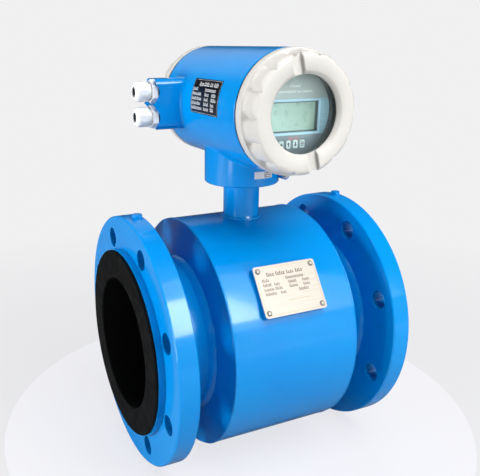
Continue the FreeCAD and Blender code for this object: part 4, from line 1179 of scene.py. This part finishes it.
def light_panel(name, azimuth, elevation, width, height, radiance):
    """A soft box turned to the meter; azimuth is measured from -Y towards +X, as seen from the meter."""
    a, e = math.radians(azimuth), math.radians(elevation)
    towards = Vector((math.sin(a) * math.cos(e), -math.cos(a) * math.cos(e), math.sin(e)))
    lamp = bpy.data.lights.new(name, "AREA")
    lamp.shape = "RECTANGLE"
    lamp.size, lamp.size_y = width, height
    lamp.energy = radiance * math.pi * width * height
    holder = bpy.data.objects.new(name, lamp)
    holder.location = towards * LAMP_DISTANCE
    holder.rotation_mode = "QUATERNION"
    holder.rotation_quaternion = (-towards).to_track_quat("-Z", "Y")
    holder.visible_camera = False
    bpy.context.scene.collection.objects.link(holder)
    return holder


def add_lights():
    """Broad lights that only shade, narrow ones that mirror, and one that reaches in behind the window."""
    for values in FILLS:
        lamp = light_panel(*values)
        lamp.visible_glossy = False
        lamp.visible_transmission = False
    for values in MIRRORED:
        lamp = light_panel(*values)
        lamp.visible_diffuse = False
    lamp = light_panel(*WINDOW_FILL)
    lamp.visible_diffuse = False
    lamp.visible_glossy = False


# Pale patches of the room that surfaces mirror: direction, cosine where it starts and is full, strength
ROOM_PATCHES = (((-0.25, 0.94, -0.23), 0.984, 0.998, 1.0), ((0.1, 0.85, 0.5), 0.9, 0.99, 0.4))
ROOM_STRENGTH = 0.04
AMBIENT_STRENGTH = 0.05


def room_patch(tree, direction, towards, start, end, strength):
    """A soft round patch of the sky, from 0 outside to its strength in the middle."""
    facing = tree.nodes.new("ShaderNodeVectorMath")
    facing.operation = "DOT_PRODUCT"
    facing.inputs[1].default_value = Vector(towards).normalized()
    patch = add_node(tree, "ShaderNodeMapRange", From_Min=start, From_Max=end, To_Max=strength)
    patch.interpolation_type = "SMOOTHSTEP"
    tree.links.new(direction, facing.inputs[0])
    tree.links.new(facing.outputs["Value"], patch.inputs["Value"])
    return patch.outputs["Result"]


def set_world():
    """Pale background for the camera, weak ambient light, and a dark room with pale patches in mirrors."""
    world = bpy.data.worlds.new("studio")
    world.use_nodes = True
    tree = world.node_tree
    ambient = tree.nodes["Background"]
    ambient.inputs["Color"].default_value = (0.95, 0.97, 1.0, 1)
    ambient.inputs["Strength"].default_value = AMBIENT_STRENGTH
    shown = add_node(tree, "ShaderNodeBackground", Color=BACKGROUND)
    mirrored = add_node(tree, "ShaderNodeBackground", Color=(1, 1, 1, 1))
    direction = tree.nodes.new("ShaderNodeTexCoord").outputs["Generated"]
    one, other = [room_patch(tree, direction, *values) for values in ROOM_PATCHES]
    strength = combined(tree, "ADD", combined(tree, "ADD", one, other), ROOM_STRENGTH)
    tree.links.new(strength, mirrored.inputs["Strength"])
    rays = tree.nodes.new("ShaderNodeLightPath")
    unseen = mixed(tree, rays.outputs["Is Glossy Ray"], ambient.outputs["Background"],
                   mirrored.outputs["Background"])
    surface = mixed(tree, rays.outputs["Is Camera Ray"], unseen, shown.outputs["Background"])
    tree.links.new(surface, tree.nodes["World Output"].inputs["Surface"])
    bpy.context.scene.world = world


# The photograph's viewpoint
CAMERA_PLACE = (-0.3412, -0.6188, 0.3180)
CAMERA_DOWN, CAMERA_TURN = math.radians(20.4), math.radians(-25.55)
CAMERA_LENS, CAMERA_SENSOR = 47.15, 36
CAMERA_SHIFT = 0.0722, 0.0805


def add_camera():
    lens = bpy.data.cameras.new("camera")
    lens.lens = CAMERA_LENS
    lens.sensor_width = CAMERA_SENSOR
    lens.shift_x, lens.shift_y = CAMERA_SHIFT
    camera = bpy.data.objects.new("camera", lens)
    camera.location = CAMERA_PLACE
    camera.rotation_euler = (math.pi / 2 - CAMERA_DOWN, 0, CAMERA_TURN)
    bpy.context.scene.collection.objects.link(camera)
    bpy.context.scene.camera = camera


add_floor()
add_lights()
set_world()
add_camera()
bpy.context.scene.view_settings.view_transform = "Standard"
